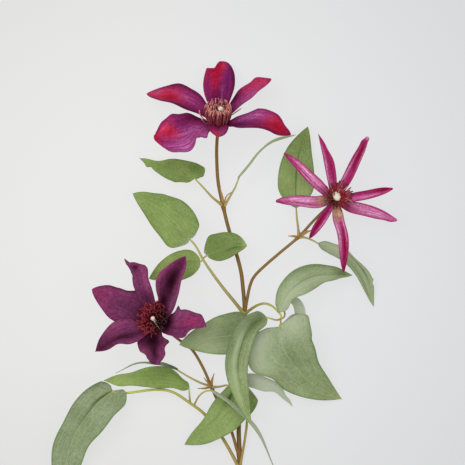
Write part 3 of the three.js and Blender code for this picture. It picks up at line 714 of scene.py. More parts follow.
def painted(brushed_tints, form, t, u):
    """How much of each brushed tint lies at each point of a blade. Tints are own colours, painted light and
    painted shade.
    """
    amounts = {}
    for brushed_tint in brushed_tints:
        amounts[brushed_tint] = np.zeros_like(t)
        for place, across, reach, width, strength in rows(form.get(brushed_tint, "")):
            stroke = strength * np.exp(-(((t - place) / reach) ** 2) - ((u - across) / width) ** 2)
            amounts[brushed_tint] = amounts[brushed_tint] + stroke * (1 - amounts[brushed_tint])
    return amounts


def leaf_tones(form, t, u):
    """The grey bloom, and the brushed pale and dim patches of a leaf: partly its own tone, partly painted
    light and painted shade.
    """
    base, tip = form["grey"]
    return {"grey": base + (tip - base) * t, **painted(("pale", "dim"), form, t, u)}


def leaf(name, way, **form):
    """Makes a leaf from the way of its midrib and what differs from the usual heart shape."""
    bundle = Bundle()
    add_blade(bundle, rows(way), leaf_tones, **{**HEART, **form})
    bundle.finish(name + "_blade", leaf_skin, name, LEAF_SLOTS[name])


# %% Leaves of the upper stem and the right branch
leaf("upper_leaf_left", "-36.5 229.5 20, -48 237.2 23, -62 240.6 18, -80.5 245.5 8", half=(9.5, 6.8),
    heel=(0.45, 1.9), lobe=(0, 5.5), lobe_turn=0.5, at=0.28, face=(0.1, -0.1, 1), grey=(0.05, 0),
    left=".42 -2 .15, .25 -1.8 .1, .84 -1.4 .04, .75 .8 .04", right=".68 3 .18, .14 -3 .12",
    pale=".9 0 .1 1 .25", dim=".4 0 .6 2 .25, .12 .6 .12 .45 .4")
leaf("upper_leaf_right", "-.5 231 18, 7.2 240.6 20, 15.5 251 20.5, 27 259.6 19, 45 264.4 14", half=8,
    lobe=3, at=0.3, face=(0.7, -0.7, 0.09), fold=(2, 1), bend=(2, 1), wave=(0, 1, 0), grey=(0.5, 0.4),
    pale=".5 0 2 4 1")
leaf("right_branch_leaf_up", "45 206 17, 44.8 226 15, 47 248 11, 54.5 271 8", half=15, at=0.3,
    face=(0.05, 0, 1), grey=(0.2, 0.1), corner=0.25, neck=1, pale=".3 0 .4 2 .25",
    dim=".9 0 .15 2 .25, .4 0 .5 .04 .8")
leaf("right_branch_leaf_down", "63.5 177.3 22, 82 170 26, 97 154.5 19, 107.5 126.5 2", half=(7, 6.5),
    lobe=1, at=0.35, heel=(0.3, 0.5), face=(0.15, 0.35, 0.9), touches=True, grey=(1, 0.8),
    left=".4 3.8 .18, .16 1.4 .08, .7 -.8 .015, .74 .8 .02, .74 -1.5 .2", right=".18 -1.5 .12",
    pale=".5 0 1 2 .25, .2 .2 .15 .6 .4", dim=".55 -.4 .2 .15 .6, .7 .5 .3 .2 .4")

# %% Compound leaf on the left of the middle
leaf("mid_left_leaflet_end", "-41 181.5 26.5, -52 194 26, -66 206.5 20, -86 217.3 12", half=(16.5, 17.5),
    lobe=(3.5, 3), at=0.28, grey=(0.1, 0), left=".15 -1.5 .1, .08 -2 .08", right=".72 2.4 .13, .54 1.6 .1",
    pale=".5 -.2 .35 .8 .1")
leaf("mid_left_leaflet_low", "-32.8 162.6 21, -44 161.5 21, -58 156.5 16, -73 149 11", half=(12, 11),
    heel=0.75, lobe=2, at=0.3, grey=(0, 0), corner=0.2, left=".6 -1.2 .3", pale=".5 0 1 2 .2",
    dim=".3 0 .25 .12 .4")
leaf("mid_left_leaflet_near", "-25.5 168.2 24, -16 171.5 26.5, -5 175 27, 5.5 175.5 25", half=(14, 8.5),
    heel=(0.75, 0.6), lobe=(3.8, 2), at=0.38, point=0.7, grey=(0, 0.1), corner=0.28, left=".2 -1.4 .12",
    pale=".95 -.4 .07 .8 .7", dim=".4 0 .5 2 .4, .65 .2 .25 .14 .6")

# %% Compound leaf on the right of the middle
leaf("mid_right_leaflet_top", "31.6 123 27.5, 40 139.5 31, 60 151.5 27, 90 151.8 11", half=(9.5, 11),
    lobe=1, at=0.38, heel=0.3, face=(-0.1, 0.1, 1), grey=(0.9, 0.8), left=".4 -1.6 .2, .82 -1.2 .1",
    right=".2 3 .1, .68 2.2 .12, .86 1.5 .08", pale=".5 0 1 2 .12, .15 .3 .22 .9 .5, .55 .35 .3 .4 .35",
    dim=".88 -.3 .1 .8 .6, .5 -.85 .3 .2 .4, .5 0 .4 .05 .5")
leaf("mid_right_leaflet_back", "37 132.5 17, 42 131.5 16, 47 124 15, 49 104 10", half=(5.5, 4), lobe=1,
    at=0.4, heel=0.3, face=(0.3, 0.3, 0.9), grey=(1, 1), pale=".5 0 2 4 .9")
leaf("mid_right_leaflet_big", "31 110 29, 36.5 90 29, 54 68 19, 82 52 2", half=(23.5, 25), heel=(1.12, 0.6),
    lobe=(8.8, 2.8), lobe_turn=0.5, at=0.24, touches=True, fold=(8, 4), corner=0.035, point=(1.1, 0.95),
    grey=(1, 0.55), left=".14 -1.6 .08, .52 2.2 .14",
    right=".62 3.8 .22, .21 -7 .09, .37 3.2 .09, .1 -.8 .06", pale=".12 .75 .16 .45 .7, .02 -.45 .12 .5 .5",
    dim=".3 -.1 .15 .25 .2")
leaf("mid_right_leaflet_long", "20.3 118.4 33, 6.5 108 41, -1.5 82 43, 2 56 42, 8.7 33.5 40",
    half=(8.5, 11), lobe=1, at=0.4, fold=(14, 8), grey=(1, 0.35),
    pale=".42 .35 .25 .2 .5, .75 .45 .2 .4 .35",
    dim=".1 .15 .16 .55 .6, .34 .8 .2 .35 .35, .35 0 .35 .07 .7, .2 -.25 .14 .25 .35")

# %% Lower leaves
leaf("low_right_leaflet_end", "9 105 21, -8 103.5 26, -26 101 27, -48.5 96.2 24", half=(15, 18), lobe=2,
    at=0.32, grey=(0.85, 0.5), right=".16 -2.2 .12, .64 1.9 .17", pale=".7 .2 .3 1 .45, .55 -.6 .25 .35 .3",
    dim=".3 .45 .16 .6 .2, .25 -.6 .12 .5 .2")
leaf("low_right_leaflet_side", "2.5 67 21, 14 66 23, 28 61 17, 42 46.5 5", half=(8.5, 5.5), lobe=2, at=0.33,
    point=(0.85, 1.5), turned=True, grey=(1, 1), left=".75 2.4 .12, .42 3.2 .24",
    right=".35 -.6 .12, .6 1.6 .14", pale=".5 0 1 2 .75")
leaf("left_branch_leaf_right", "-3 61 14.5, -9 51 15, -24 32.5 11, -44.5 15.6 5", half=(19.5, 10),
    heel=(0.9, 0.6), lobe=(7, 3), at=0.3, fold=(14, 6), grey=(0.2, 0.1), left=".1 -3 .12, .6 1.8 .15",
    right=".6 1.5 .2", pale=".55 0 .35 1.5 .2", dim=".14 .12 .1 .22 1, .5 0 .3 .04 .4")
leaf("left_branch_leaf_left", "-51 76.5 10.5, -64 80 11, -82 81 10, -100 73 8", half=7.5, lobe=2, at=0.3,
    point=1.5, face=(0.03, 0.995, 0.1), fold=(4, 2), grey=(0.4, 0.9), pale=".7 0 .3 2 .5",
    dim=".06 0 .12 2 .9")
leaf("low_left_leaflet_end", "-102.5 58.5 19, -117 46 24, -134 20 18, -147 -28 2", half=(19, 17),
    lobe=(10.5, 3.2), lobe_turn=0.5, at=0.34, fold=(16, 8), touches=True, grey=(1, 1),
    left=".08 -.8 .07, .5 3.6 .17", right=".4 3.4 .14",
    dim=".3 0 1 2 .03, .1 .12 .14 .08 .9, .28 .05 .1 .05 .5, .08 .95 .1 .2 .4")
leaf("low_left_leaflet_up", "-41 61 14, -56 69.5 20, -80 69.7 21, -109 67.4 15", half=(8, 9), heel=0.35,
    at=0.36, wave=(1.2, 2, 0.5), grey=(0, 0), left=".84 -2 .1, .35 -1.3 .15", right=".68 2 .12, .15 3 .1",
    pale=".5 0 1 2 .15, .85 -.4 .15 .6 .25", dim=".35 .3 .35 .8 .35, .2 .7 .12 .25 .5")
leaf("low_left_leaflet_edge", "-23 59.6 23, -6 47.5 31, 13 28 30, 29 -6 22", half=7, lobe=2, at=0.38,
    face=(0.66, 0.72, 0.2), fold=(6, 2), grey=(0.9, 0.9), pale=".3 0 .8 2 1")

# %% [markdown]
# ## Bark and stalk materials
# The stems are brown and olive at once: the bark is thin, and green shows through it. A plain noise would
# look like rust, so the two colours mix in streaks that run with the stem. Leaf stalks are yellow-green,
# and browner where they leave the stem. The bracts at the joints are papery.

# %% Bark and stalk materials
def stem_material(name, ridge, hollow, joint, far, roughness=0.5):
    """Ridge and hollow colours mix in streaks, joint is the one near a knot, and far the one at the end."""
    material, nodes = new_material(name, Specular_IOR_Level=0.3)
    around, run, along, knot = nodes.points("around", "run", "along", "knot")
    lines = nodes.group(streaks, Across=around, Run=run, Count=3.0, Drift=0.04)["Mask"]
    fine = nodes.group(streaks, Across=around, Run=run, Count=14.0, Drift=0.25)["Mask"]
    patch = nodes.group(mottling, Size_mm=6.0, Contrast=2.0)["Mask"]
    colour = nodes.wash(
        nodes.blend(lines, ridge, hollow),
        (patch, 0.45, ridge),
        (nodes.spread(along, 0.1, 0.9), 1, far),
        (fine, 0.2, hollow),
        (knot, 0.7, joint),
    )
    uneven = nodes.spread(fine, 0, 1, roughness - 0.08, roughness + 0.08)
    nodes.shade(Base_Color=colour, Roughness=uneven, Normal=nodes.bump(fine, 0.5, 0.15))
    return material


main_bark = stem_material("main_bark", (124, 88, 44), (104, 92, 40), (138, 84, 44), (138, 104, 46), 0.55)
shoot_bark = stem_material("shoot_bark", (146, 98, 48), (128, 112, 50), (152, 92, 46), (146, 116, 56), 0.55)
stalk_skin = stem_material("stalk_skin", (170, 146, 84), (178, 174, 100), (166, 120, 68), (190, 188, 112))
lime_stalk = stem_material("lime_stalk", (168, 134, 72), (164, 162, 78), (154, 116, 62), (198, 204, 96))

# %% Papery bracts
bract_skin, nodes = new_material("bract_skin", Specular_IOR_Level=0.25)
along, across, run = nodes.points("along", "across", "run")
lines = nodes.group(streaks, Across=across, Run=run, Count=5.0, Drift=0.1)["Mask"]
tip = (nodes.spread(along, 0.3, 1.0), 1, (190, 132, 84))
nodes.shade(
    Base_Color=nodes.wash(nodes.blend(lines, (176, 128, 70), (158, 142, 72)), tip),
    Roughness=nodes.spread(lines, 0, 1, 0.6, 0.75),
)

# %% [markdown]
# ## The stem, its shoots and their buttons
# The main stem and the two side shoots each end in the small button that carries a flower. A button could
# be a ball of its own, but then a seam would show, so the tube simply widens there. A shoot starts on the
# middle line of the stem, so it grows out of it with no gap. Bracts are tiny blades round each joint.

# %% Make a stem
FLOWERS = {
    "top_flower": {"centre": (-17, 272.5, 32), "axis": (0, 0.82, 0.57)},
    "right_flower": {"centre": (75.3, 211.5, 36), "axis": (0.22, 0.24, 0.94)},
    "left_flower": {"centre": (-65, 113, 36), "axis": (-0.36, 0.3, 0.88)},
}
BUTTON = 3.4  # the radius of the button under a flower
BUTTON_LENGTH = 4.2
BRACT = dict(
    round=0.6, point=1, neck=0.7, fold=(20, 12), bend=(20, 20), groove=0.05, rib=0.15, nerve=0, thick=0.4,
    cells=(14, 8),
)


def stem(name, flower, skin, radii, knots, way, *bracts):
    """Makes a stem up to its flower. radii are those at its foot and its top, knots the shares of its length
    where leaves grow from it, and each bract has a way and half its width."""
    def flare(t, length):
        left = (1 - t) * length
        return 1 + (BUTTON / radii[1] - 1) * np.clip(1 - left / BUTTON_LENGTH, 0, 1) ** 1.6

    bark, scales = Bundle(), Bundle()
    tube(bark, [*rows(way), FLOWERS[flower]["centre"]], radii, 20, 1.1, knots, shape=flare)
    bark.finish(name + "_bark", skin, name, "bark")
    for bract_way, half in bracts:
        add_blade(scales, rows(bract_way), half=half, **BRACT)
    scales.finish(name + "_bracts", bract_skin, name, "bark")


# %% Stems
stem("main_stem", "top_flower", main_bark, (2.0, 1.25), (0.235, 0.545, 0.798),
    "0 -76 1.75, .3 -45 1.75, 0 -15 1.75, -.6 12 1.75, -1 30 3, .5 75 7, 3.5 118 11, 2.3 142 12, "
    "-.5 160 13, -9.4 190 13, -13.5 207 12.5, -17.5 226 12, -18.7 246 13.5, -18.4 260 21, -17 271 30.5",
    ("-13.4 207 12.8, -14.2 214 15, -16 222 17", 1.1),
    ("-13.2 207 13, -11.2 214.5 15.5, -7.2 218.2 16.5", 0.6))
stem("right_branch", "right_flower", shoot_bark, (1.25, 1.05), (0.643,),
    "3.6 119 11, 5.6 132 12.5, 8.2 144 14, 12 151.5 15, 20 159.5 16, 31 169 16.5, 47 182.5 18, "
    "58 194.5 22, 68 204.5 29, 75 211 35",
    ("47 182.5 18, 43 183 20, 38.5 183.2 20.5", 1),
    ("47 182.5 18, 52.5 186 21.5, 58 188 22", 1.5))
stem("left_branch", "left_flower", shoot_bark, (1.2, 1.05), (0.44,),
    "-.8 6 1.9, -3 13 2.6, -5.2 21 4, -9 32 5.5, -19 53 7.5, -22.9 62 8.5, -30 78 9, -38.6 92 11, "
    "-50 100.8 16, -58.5 108 25, -64.2 112.3 35",
    ("-22.7 62 8.5, -22.4 67.5 11.5, -20.6 73 12.5", 1.1),
    ("-22.9 62 8.5, -26 66 12, -29 69.5 13", 0.9),
    ("-22.7 62 8.5, -28 61 11, -34 60.9 12", 0.9))

# %% [markdown]
# ## Leaf stalks
# A compound leaf hangs from a branched stalk, a single leaf from a plain one. Clematis climbs with these
# stalks, so they are wiry and swollen at the foot. The rods of a branched stalk could be fused with a
# Boolean modifier. They are only gathered in one piece, because ends that lie inside each other look the
# same and keep their even rings. Each rod has a way and its radius at both ends.

# %% Make a stalk
FOOT_SWELL = 0.45
FOOT_SPAN = 3.5


def swollen_foot(t, length):
    """A stalk is thicker over its first few millimetres, where it grips the stem."""
    return 1 + FOOT_SWELL * bell(t * length / FOOT_SPAN)


def stalk(name, skin, *rods):
    """Makes a stalk. Its first rod is the one that grows from the stem."""
    bundle = Bundle()
    for i, (way, radii) in enumerate(rods):
        tube(bundle, rows(way), radii, 14, 1.0, shape=None if i else swollen_foot)
    bundle.finish(name + "_skin", skin, name, "stalk")


# %% Stalks
stalk("upper_stalk_left", stalk_skin,
    ("-13.8 207.5 12.5, -22 214 15, -29 221.5 18, -36.5 229.5 20", (1.1, 0.6)))
stalk("upper_stalk_right", stalk_skin,
    ("-13.4 206 12.5, -9.5 212.5 14, -4 222 16.5, -.5 231 18", (1.1, 0.6)))
stalk("right_branch_stalk_up", stalk_skin,
    ("47.2 182.7 18, 46.5 190 18.5, 45.5 198 18, 45 206 17", (1.1, 0.6)))
stalk("right_branch_stalk_down", stalk_skin,
    ("46.8 182.3 18, 52 182 19, 57.5 180 20.5, 63 177 22", (0.95, 0.6)))
stalk("mid_left_stalk", stalk_skin,
    ("3.4 120.5 11.2, -5 131 13.5, -13.5 141.5 16, -22 153 19.5, -30 165 22.5, -35 174.5 25, "
     "-41 181.5 26.5", (1.5, 0.75)),
    ("-30 165 22.5, -28 166.6 23.2, -25.5 168.2 24", (0.75, 0.6)),
    ("-29.6 164.4 22.5, -31 163 22, -32.8 162.6 21", (0.75, 0.6)))
stalk("mid_right_stalk", lime_stalk,
    ("3.8 120.5 11.3, 8 124 14, 14 127.8 18, 20 129.2 21, 26 127 23, 30.8 122.4 25, "
     "33 119.4 26.5, 32.4 116.7 27", (1.2, 0.75)),
    ("32.4 116.7 27, 29 116 28.5, 24.5 117.2 30.5, 20.3 118.4 33", (0.75, 0.6)),
    ("30.6 122.5 25, 31.2 122.9 26.3, 32 123.6 27.6", (0.8, 0.6)),
    ("32.4 116.7 27, 32.6 113.5 26.8, 31 110 28.6", (0.75, 0.65)),
    ("32.4 116.7 27, 35.3 118.6 27, 35.8 121.2 25, 35.2 125 21, 37 132.5 17", (0.75, 0.6)))
stalk("low_left_stalk", lime_stalk,
    ("-.4 -4 1.9, -7.5 9.5 3, -15.5 23 4.5, -28 39.5 8, -40 49 12, -54 58 16.5, -68 60 18, "
     "-89 57.4 15, -97 57.4 14.5, -102.5 58.5 18.5", (1.4, 0.9)),
    ("-40 49 12, -40.4 54 13, -41 61 14", (0.8, 0.7)),
    ("-37 46.8 11, -33.5 54 14, -28.5 58.5 18, -23 59.6 23", (0.75, 0.6)))
stalk("low_right_stalk", lime_stalk,
    ("-.2 -2 1.9, 2 9 3, 4.2 22 4.5, 5.6 36 6.5, 4.6 62 10.5, 4.8 85 15, 9 105 21", (1.1, 0.7)),
    ("4.5 70 12, 3.8 69 16, 2.5 67 21", (0.75, 0.6)))
stalk("left_branch_stalk_left", stalk_skin,
    ("-22.9 62.3 8.5, -31 65 9.5, -40 69.5 10.5, -51 76 10.5", (0.95, 0.6)))
stalk("left_branch_stalk_right", stalk_skin,
    ("-22.6 61.8 8.5, -16 62.4 11, -10 63.5 13.5, -3 61 14.5", (0.95, 0.6)))

# %% [markdown]
# ## Petal material
# The petals of a clematis are matt and velvety, with fine veins that run from the base to the tip. A
# gradient from base to tip would be too even for them. Their colour changes over the petal in soft strokes,
# so six tints are brushed on: rose, red, violet, light, dark and cream. Rose, red, violet and cream are
# colours of the petal itself. The light strokes are partly paler streaks and partly the painted sheen of the
# velvet, and the dark strokes partly darker colour and partly painted shade in folds and near the crown. One
# recipe makes the material for each flower, and the colours of the tints are its own. Veins and mottling
# darken or lighten whatever colour lies under them.

# %% Petal materials
VEIN_SHADE = (0.4, 0.22, 0.4, 1.0)  # what is left of each primary colour in a vein
BAND_GAIN = (1.5, 1.9, 1.6, 1.0)  # how much lighter the bands between the veins are


def petal_material(name, base, brushed_tints, vein_share, band_count, rim_start, under_tint):
    """Velvety petal skin with one colour for each brushed tint, painted sheen and shade among them, and
    veins.
    """
    material, nodes = new_material(name, Specular_IOR_Level=0.02, Roughness=0.7)
    across, run, under = nodes.points("across", "run", "under")
    broad, patchy, small = (
        nodes.group(mottling, Size_mm=size, Contrast=contrast)["Mask"]
        for size, contrast in ((9.0, 1.5), (4.0, 4.0), (1.8, 3.2))
    )
    bands = nodes.group(streaks, Across=across, Run=run, Count=band_count, Drift=0.05)["Mask"]
    fine = nodes.group(streaks, Across=across, Run=run, Count=36.0, Drift=0.12)["Mask"]
    rim = nodes.group(rim_band, Across=across, Start=rim_start)["Mask"]
    colour = base
    for brushed_tint, tint in brushed_tints.items():
        # The light strokes, partly the painted sheen of the velvet, are stronger on the bands between the
        # veins.
        strength = nodes.spread(bands, 0, 1, 0.55, 1.15) if brushed_tint == "light" else 1
        colour = nodes.wash(colour, (nodes.points(brushed_tint)[0], strength, tint))
    darker = nodes.blend(1.0, colour, VEIN_SHADE, "MULTIPLY")
    paler = nodes.blend(1.0, colour, BAND_GAIN, "MULTIPLY")
    above = nodes.wash(
        colour,
        (fine, vein_share, darker),
        (bands, 0.66, paler),
        (patchy, 0.42, paler),
        (broad, 0.32, darker),
        (small, 0.48, darker),
        (rim, 0.4, darker),
    )
    height = nodes.sums("MULTIPLY_ADD", fine, -0.7, nodes.times(bands, 0.4))
    below = nodes.blend(0.4, above, under_tint)
    nodes.shade(Base_Color=nodes.blend(under, above, below), Normal=nodes.bump(height, 0.4, 0.2))
    return material


crimson_petal = petal_material(
    "crimson_petal", (148, 42, 104),
    {"rose": (228, 66, 100), "red": (192, 24, 48), "violet": (116, 32, 98), "light": (206, 106, 176),
     "dark": (82, 14, 48), "cream": (190, 120, 120)},
    vein_share=0.52, band_count=13.0, rim_start=0.9, under_tint=(150, 96, 130),
)
magenta_petal = petal_material(
    "magenta_petal", (192, 62, 128),
    {"rose": (226, 80, 146), "red": (148, 14, 60), "violet": (150, 36, 116), "light": (255, 182, 224),
     "dark": (104, 74, 36), "cream": (206, 164, 124)},
    vein_share=0.6, band_count=5.0, rim_start=0.72, under_tint=(190, 120, 160),
)
plum_petal = petal_material(
    "plum_petal", (138, 60, 104),
    {"rose": (186, 90, 132), "red": (172, 48, 96), "violet": (106, 52, 88), "light": (172, 106, 150),
     "dark": (40, 6, 20), "cream": (150, 110, 120)},
    vein_share=0.55, band_count=13.0, rim_start=0.9, under_tint=(120, 80, 110),
)

# %% [markdown]
# ## Petals
# Each petal starts as a narrow claw on the button and then follows its own way. One petal could be copied
# round the flower, but here no two are alike. Trims and brush strokes are written as for the leaves. Every
# broad petal gets painted shade at its base, where it meets the crown.

# %% Make a petal
CLAW_START, CLAW_END = 2.5, 4.7  # the distances from the flower's axis between which the claw runs
CLAW_LIFT = 0.8
WHORL_LIFT = 1.1  # every second petal grows this much higher
PETAL = dict(groove=0.1, rib=0.25, nerve=0, thick=0.45)
BROAD = dict(PETAL, round=0.95, point=0.7, at=0.55, neck=1.15, ribs=(9, 0.02), cells=(72, 44))
NARROW = dict(
    PETAL, fold=(18, 14), bend=(10, 8), at=0.5, round=0.8, point=0.62, neck=1.15, heel=0.55, ribs=(4, 0.05),
    cells=(72, 28),
)
# A dark stroke at the base of every broad petal: painted shade where it meets the crown.
BASE_SHADE = "0 0 .16 2 .85, "
# light is partly painted sheen, and dark is partly painted shade in folds and at the base.
PETAL_TINTS = ("rose", "red", "violet", "light", "dark", "cream")
PETAL_LOOKS = {
    "top_flower": (BROAD, crimson_petal),
    "right_flower": (NARROW, magenta_petal),
    "left_flower": (BROAD, plum_petal),
}


def petal_tones(form, t, u):
    """The tints that are brushed on a petal: its own colours, painted sheen and painted shade."""
    return painted(PETAL_TINTS, form, t, u)


def petal(flower, number, way, **form):
    """Makes a petal from the way of its midline beyond the claw and what differs from the usual form."""
    (usual, skin), way = PETAL_LOOKS[flower], rows(way)
    centre, axis = np.array(FLOWERS[flower]["centre"], float), unit(np.array(FLOWERS[flower]["axis"]))
    out = np.array(way[0]) - centre
    out = unit(out - axis * out.dot(axis))
    foot = centre + axis * (CLAW_LIFT + WHORL_LIFT * ((number - 1) % 2))
    spine = [foot + out * CLAW_START, foot + out * CLAW_END, *way]
    if usual is BROAD:
        form["dark"] = BASE_SHADE + form.get("dark", "")
    bundle = Bundle()
    add_blade(bundle, spine, petal_tones, **{"face": FLOWERS[flower]["axis"], **usual, **form})
    node = f"{flower}_tepal_{number}"
    bundle.finish(node + "_skin", skin, node, flower.replace("flower", "tepals"))


# %% Petals of the crimson flower
petal("top_flower", 1, "-17.5 289 25, -16.5 306 15, -13 323.7 1", half=(13.2, 13.5), fold=(16, 6),
    bend=(20, 10), point=(0.12, 0.55), blunt=(1.8, 3.2), touches=True, frill=(0.5, 3, 0.4),
    left=".94 6.2 .115 12", rose=".92 .1 .1 .35 .9, .72 .05 .12 .12 .5, .72 -.95 .3 .1 .4",
    red=".85 -.4 .22 .5 1, .6 -.2 .22 .28 .8", violet=".45 .4 .35 .5 .8, .75 .5 .15 .2 .5",
    light=".42 .25 .15 .1 .4", dark=".62 .97 .35 .22 .8, .36 -.1 .14 .5 .5")
petal("top_flower", 2, "-32 283 29, -52 294 24, -74.7 297.6 12", half=(14, 15), fold=(14, 6), bend=(14, 8),
    frill=(0.6, 3, 1.2), left=".35 2.2 .2", right=".68 -1 .12", rose=".8 -.1 .26 .8 1, .98 0 .08 1 .6",
    red=".66 -.15 .16 .5 .9", light=".86 .35 .05 .3 .5, .45 .35 .14 .3 .4",
    dark=".55 1 .3 .3 .7, .4 -.9 .28 .35 .8")
petal("top_flower", 3, "-32 271 40, -51 266 48, -68.5 260.5 50", half=(19, 14), fold=(8, 0), bend=(6, 0),
    roll=(0, -38), frill=(0.9, 3.5, 0.2), blunt=(3.4, 3.4),
    left=".3 -1.9 .035, .36 1.6 .02, .42 5.8 .065, .5 1.6 .07, .6 -2.6 .12, .82 -2.6 .1",
    right=".62 -2.2 .16, .82 -1.5 .08, .33 -2.2 .17", rose=".8 .35 .14 .45 1, .66 -.1 .1 .25 .4",
    red=".97 0 .06 2 .9, .75 .1 .1 .25 .9", violet=".52 .25 .14 .3 .5",
    light=".62 -.75 .25 .35 .75, .42 -.2 .18 .3 .8, .28 -.8 .1 .3 .6", dark=".3 .7 .2 .4 .8")
petal("top_flower", 4, "-16.5 267.5 44, -16.5 263 56, -17.5 261.6 66", half=(8, 9.5), fold=(16, 10),
    bend=(16, 10), at=0.25, point=0.9, rose=".75 .3 .4 .7 1", light=".55 -.4 .3 .5 .35")
petal("top_flower", 5, "-2 273.5 41, 13 275.5 50, 28 272 56, 40.5 263.8 58", half=(13, 16), fold=(12, 4),
    bend=(12, 8), frill=(0.6, 3, 2), left=".86 3.2 .1, .46 -.8 .012",
    right=".37 -4 .14, .3 1 .05, .58 -1.9 .09, .88 -3.8 .1", rose=".72 -.3 .1 .45 .8", red=".82 .1 .2 1 1",
    violet=".3 .2 .14 .6 .6", light=".42 -.45 .2 .45 .8",
    dark=".25 .6 .22 .45 .8, .7 1 .35 .25 .6, .98 .6 .05 .8 .4")
petal("top_flower", 6, "-4.5 285.5 31, 10 299.5 27, 25 309 22", half=(10.5, 11.5), at=0.6, round=1.2,
    fold=(14, 6), bend=(10, 6), face=(-0.45, 0.72, 0.52), frill=(0.4, 3, 0.9), blunt=(2.2, 2.2),
    left=".87 -4.8 .09", right=".75 .6 .1", rose=".82 0 .28 1.4 .75", red="1 0 .05 2 .6",
    violet=".3 .3 .15 .6 .5", light=".55 .4 .25 .5 .6", dark=".4 -.85 .16 .4 1")

# %% Petals of the magenta star
petal("right_flower", 1, "58.5 226.5 43, 46 239.5 45, 35 249.5 42", half=4.6, blunt=1.2, right=".3 -1 .18",
    red=".95 0 .08 1 .4, .72 -.4 .15 .25 .5", light=".5 .35 .3 .35 .95, .4 -.5 .25 .25 .6")
petal("right_flower", 2, "72.5 231 42, 69 248 44, 62.5 264.5 40", half=4.6, point=0.95, right=".72 1.2 .12",
    red=".5 .35 .4 .4 .7, .95 0 .15 1 .4", light=".5 -.7 .3 .25 .6, .2 -.2 .08 .4 .4")
petal("right_flower", 3, "85.5 229 38, 94 246 38, 102.3 262.5 33", half=(4.8, 4.4), blunt=1.9,
    left=".9 -1.2 .07", right=".6 .6 .2", red=".72 0 .28 .8 1, .4 .5 .25 .25 .7",
    light=".35 -.6 .25 .25 .6, .99 0 .03 1 .8, .75 .8 .25 .15 .4")
petal("right_flower", 4, "91 214 39, 107 217.5 41, 122 221 38", half=4.4, blunt=1.2, left=".55 .9 .2",
    red=".82 -.4 .28 .6 1, .5 -.8 .3 .25 .7", light=".45 .35 .25 .3 .6")
petal("right_flower", 5, "88 206.2 34, 105 202.5 34, 125.5 195.5 31", half=4.8, blunt=1.6,
    left=".3 -.8 .15", right=".25 -1 .2, .6 -1 .2, .9 -1 .07", red=".35 .1 .2 .12 .5",
    light=".6 .1 .3 .6 .85, .3 -.6 .2 .25 .6, 1 0 .05 1 .4")
petal("right_flower", 6, "78.5 196 41, 82 180 45, 82.5 154.6 43", half=4.7, blunt=1.4, left=".16 -.8 .12",
    right=".2 -1.4 .16", red=".65 -.3 .35 .4 1, .95 0 .15 2 .8",
    light=".45 .65 .28 .3 .8, .35 -.7 .2 .15 .5, .3 .2 .12 .2 .5", dark=".2 .1 .12 .12 .5",
    cream=".14 0 .1 2 .9")
petal("right_flower", 7, "66 197 37, 60.5 189 33, 55.5 181.3 28", half=3.7,
    red=".55 .2 .45 .6 1, .95 0 .15 2 .8", light=".45 -.65 .25 .15 .7")
petal("right_flower", 8, "60 210.3 42, 45 211 44, 28.5 211 41", half=4.9, blunt=1.6, left=".28 -1.5 .2",
    right=".15 -1 .12, .9 -.5 .06", red=".5 -.35 .3 .1 .4, .97 0 .06 2 .6",
    light=".55 .25 .3 .5 1, .5 -.75 .25 .2 .7", dark=".13 -.1 .08 .8 .9", cream=".2 .4 .1 1 .6")

# %% Petals of the plum flower
petal("left_flower", 1, "-81 122.5 31, -99 130 31, -118.5 140.5 26", half=(15, 14.5), fold=(10, 2),
    bend=(6, -6), frill=(0.6, 3, 0.6), neck=3, left=".75 2.6 .15, .9 1 .1",
    right=".4 -1.8 .08, .57 2.2 .12, .72 1.3 .08", red=".88 -.1 .18 1 .3", violet=".5 0 .25 .7 .75",
    dark=".22 .1 .14 1.2 .8, .6 1 .4 .12 .6")
petal("left_flower", 2, "-80 107.5 38, -98 103.5 40, -115.5 91 34", half=(10.5, 12.5), point=0.95,
    roll=(-8, -20), fold=(6, 2), bend=(4, -4), frill=(0.8, 3, 0.2), neck=3, left=".64 3.8 .16",
    right=".7 2.2 .15", rose=".6 .7 .3 .3 .25", violet=".35 .3 .2 .8 .6",
    dark=".5 -.25 .35 .35 .8, .9 0 .25 2 .6, .15 0 .1 2 .6")
petal("left_flower", 3, "-68.6 101 40, -68.5 90.5 43, -67.7 80.4 38", half=(12.2, 14.2), at=0.36,
    fold=(4, -4), bend=(0, -20), point=0.65, frill=(1, 3, 1.4), neck=6.2, blunt=(4.6, 6.2),
    left=".22 2.8 .1, .45 -1 .05, .59 1.8 .08", right=".92 -2.2 .09", rose=".62 .7 .2 .3 .3",
    violet=".85 0 .15 1 .5", dark=".34 .1 .26 .8 1, .62 -.05 .25 .35 .85, .97 .3 .05 .6 .5")
petal("left_flower", 4, "-53 112.5 46, -40.5 113.5 53, -27 111.2 55", half=(12.5, 13.5), at=0.48,
    fold=(6, -6), bend=(0, -20), point=0.9, frill=(0.8, 3, 0.4), neck=6.2,
    left=".13 -2.4 .07, .365 -4.4 .045, .87 -3.8 .11",
    right=".11 -2 .06, .7 4.6 .13, .45 2 .12, .85 2.4 .13, .3 1.8 .08", red=".7 -.1 .2 .5 .6",
    violet=".55 .75 .2 .4 .6", light=".45 -.75 .15 .3 .35", dark=".18 -.1 .12 1.2 .95, .45 .3 .2 .1 .5")
petal("left_flower", 5, "-58 127 41, -53 146 47, -43.5 167 50", half=12, fold=(12, 20), bend=(10, 44),
    frill=(0.5, 3, 0.1), neck=6.2, left=".62 -2.4 .2, .31 1.4 .08, .19 -3.4 .08",
    right=".86 -3.8 .11, .93 -1.4 .05, .15 -1.5 .08", rose=".72 -1 .35 .16 .9, .8 .8 .2 .35 .8",
    light=".38 .5 .16 .35 .5", dark=".62 -.15 .3 .5 1, .3 -.5 .18 .5 .95")
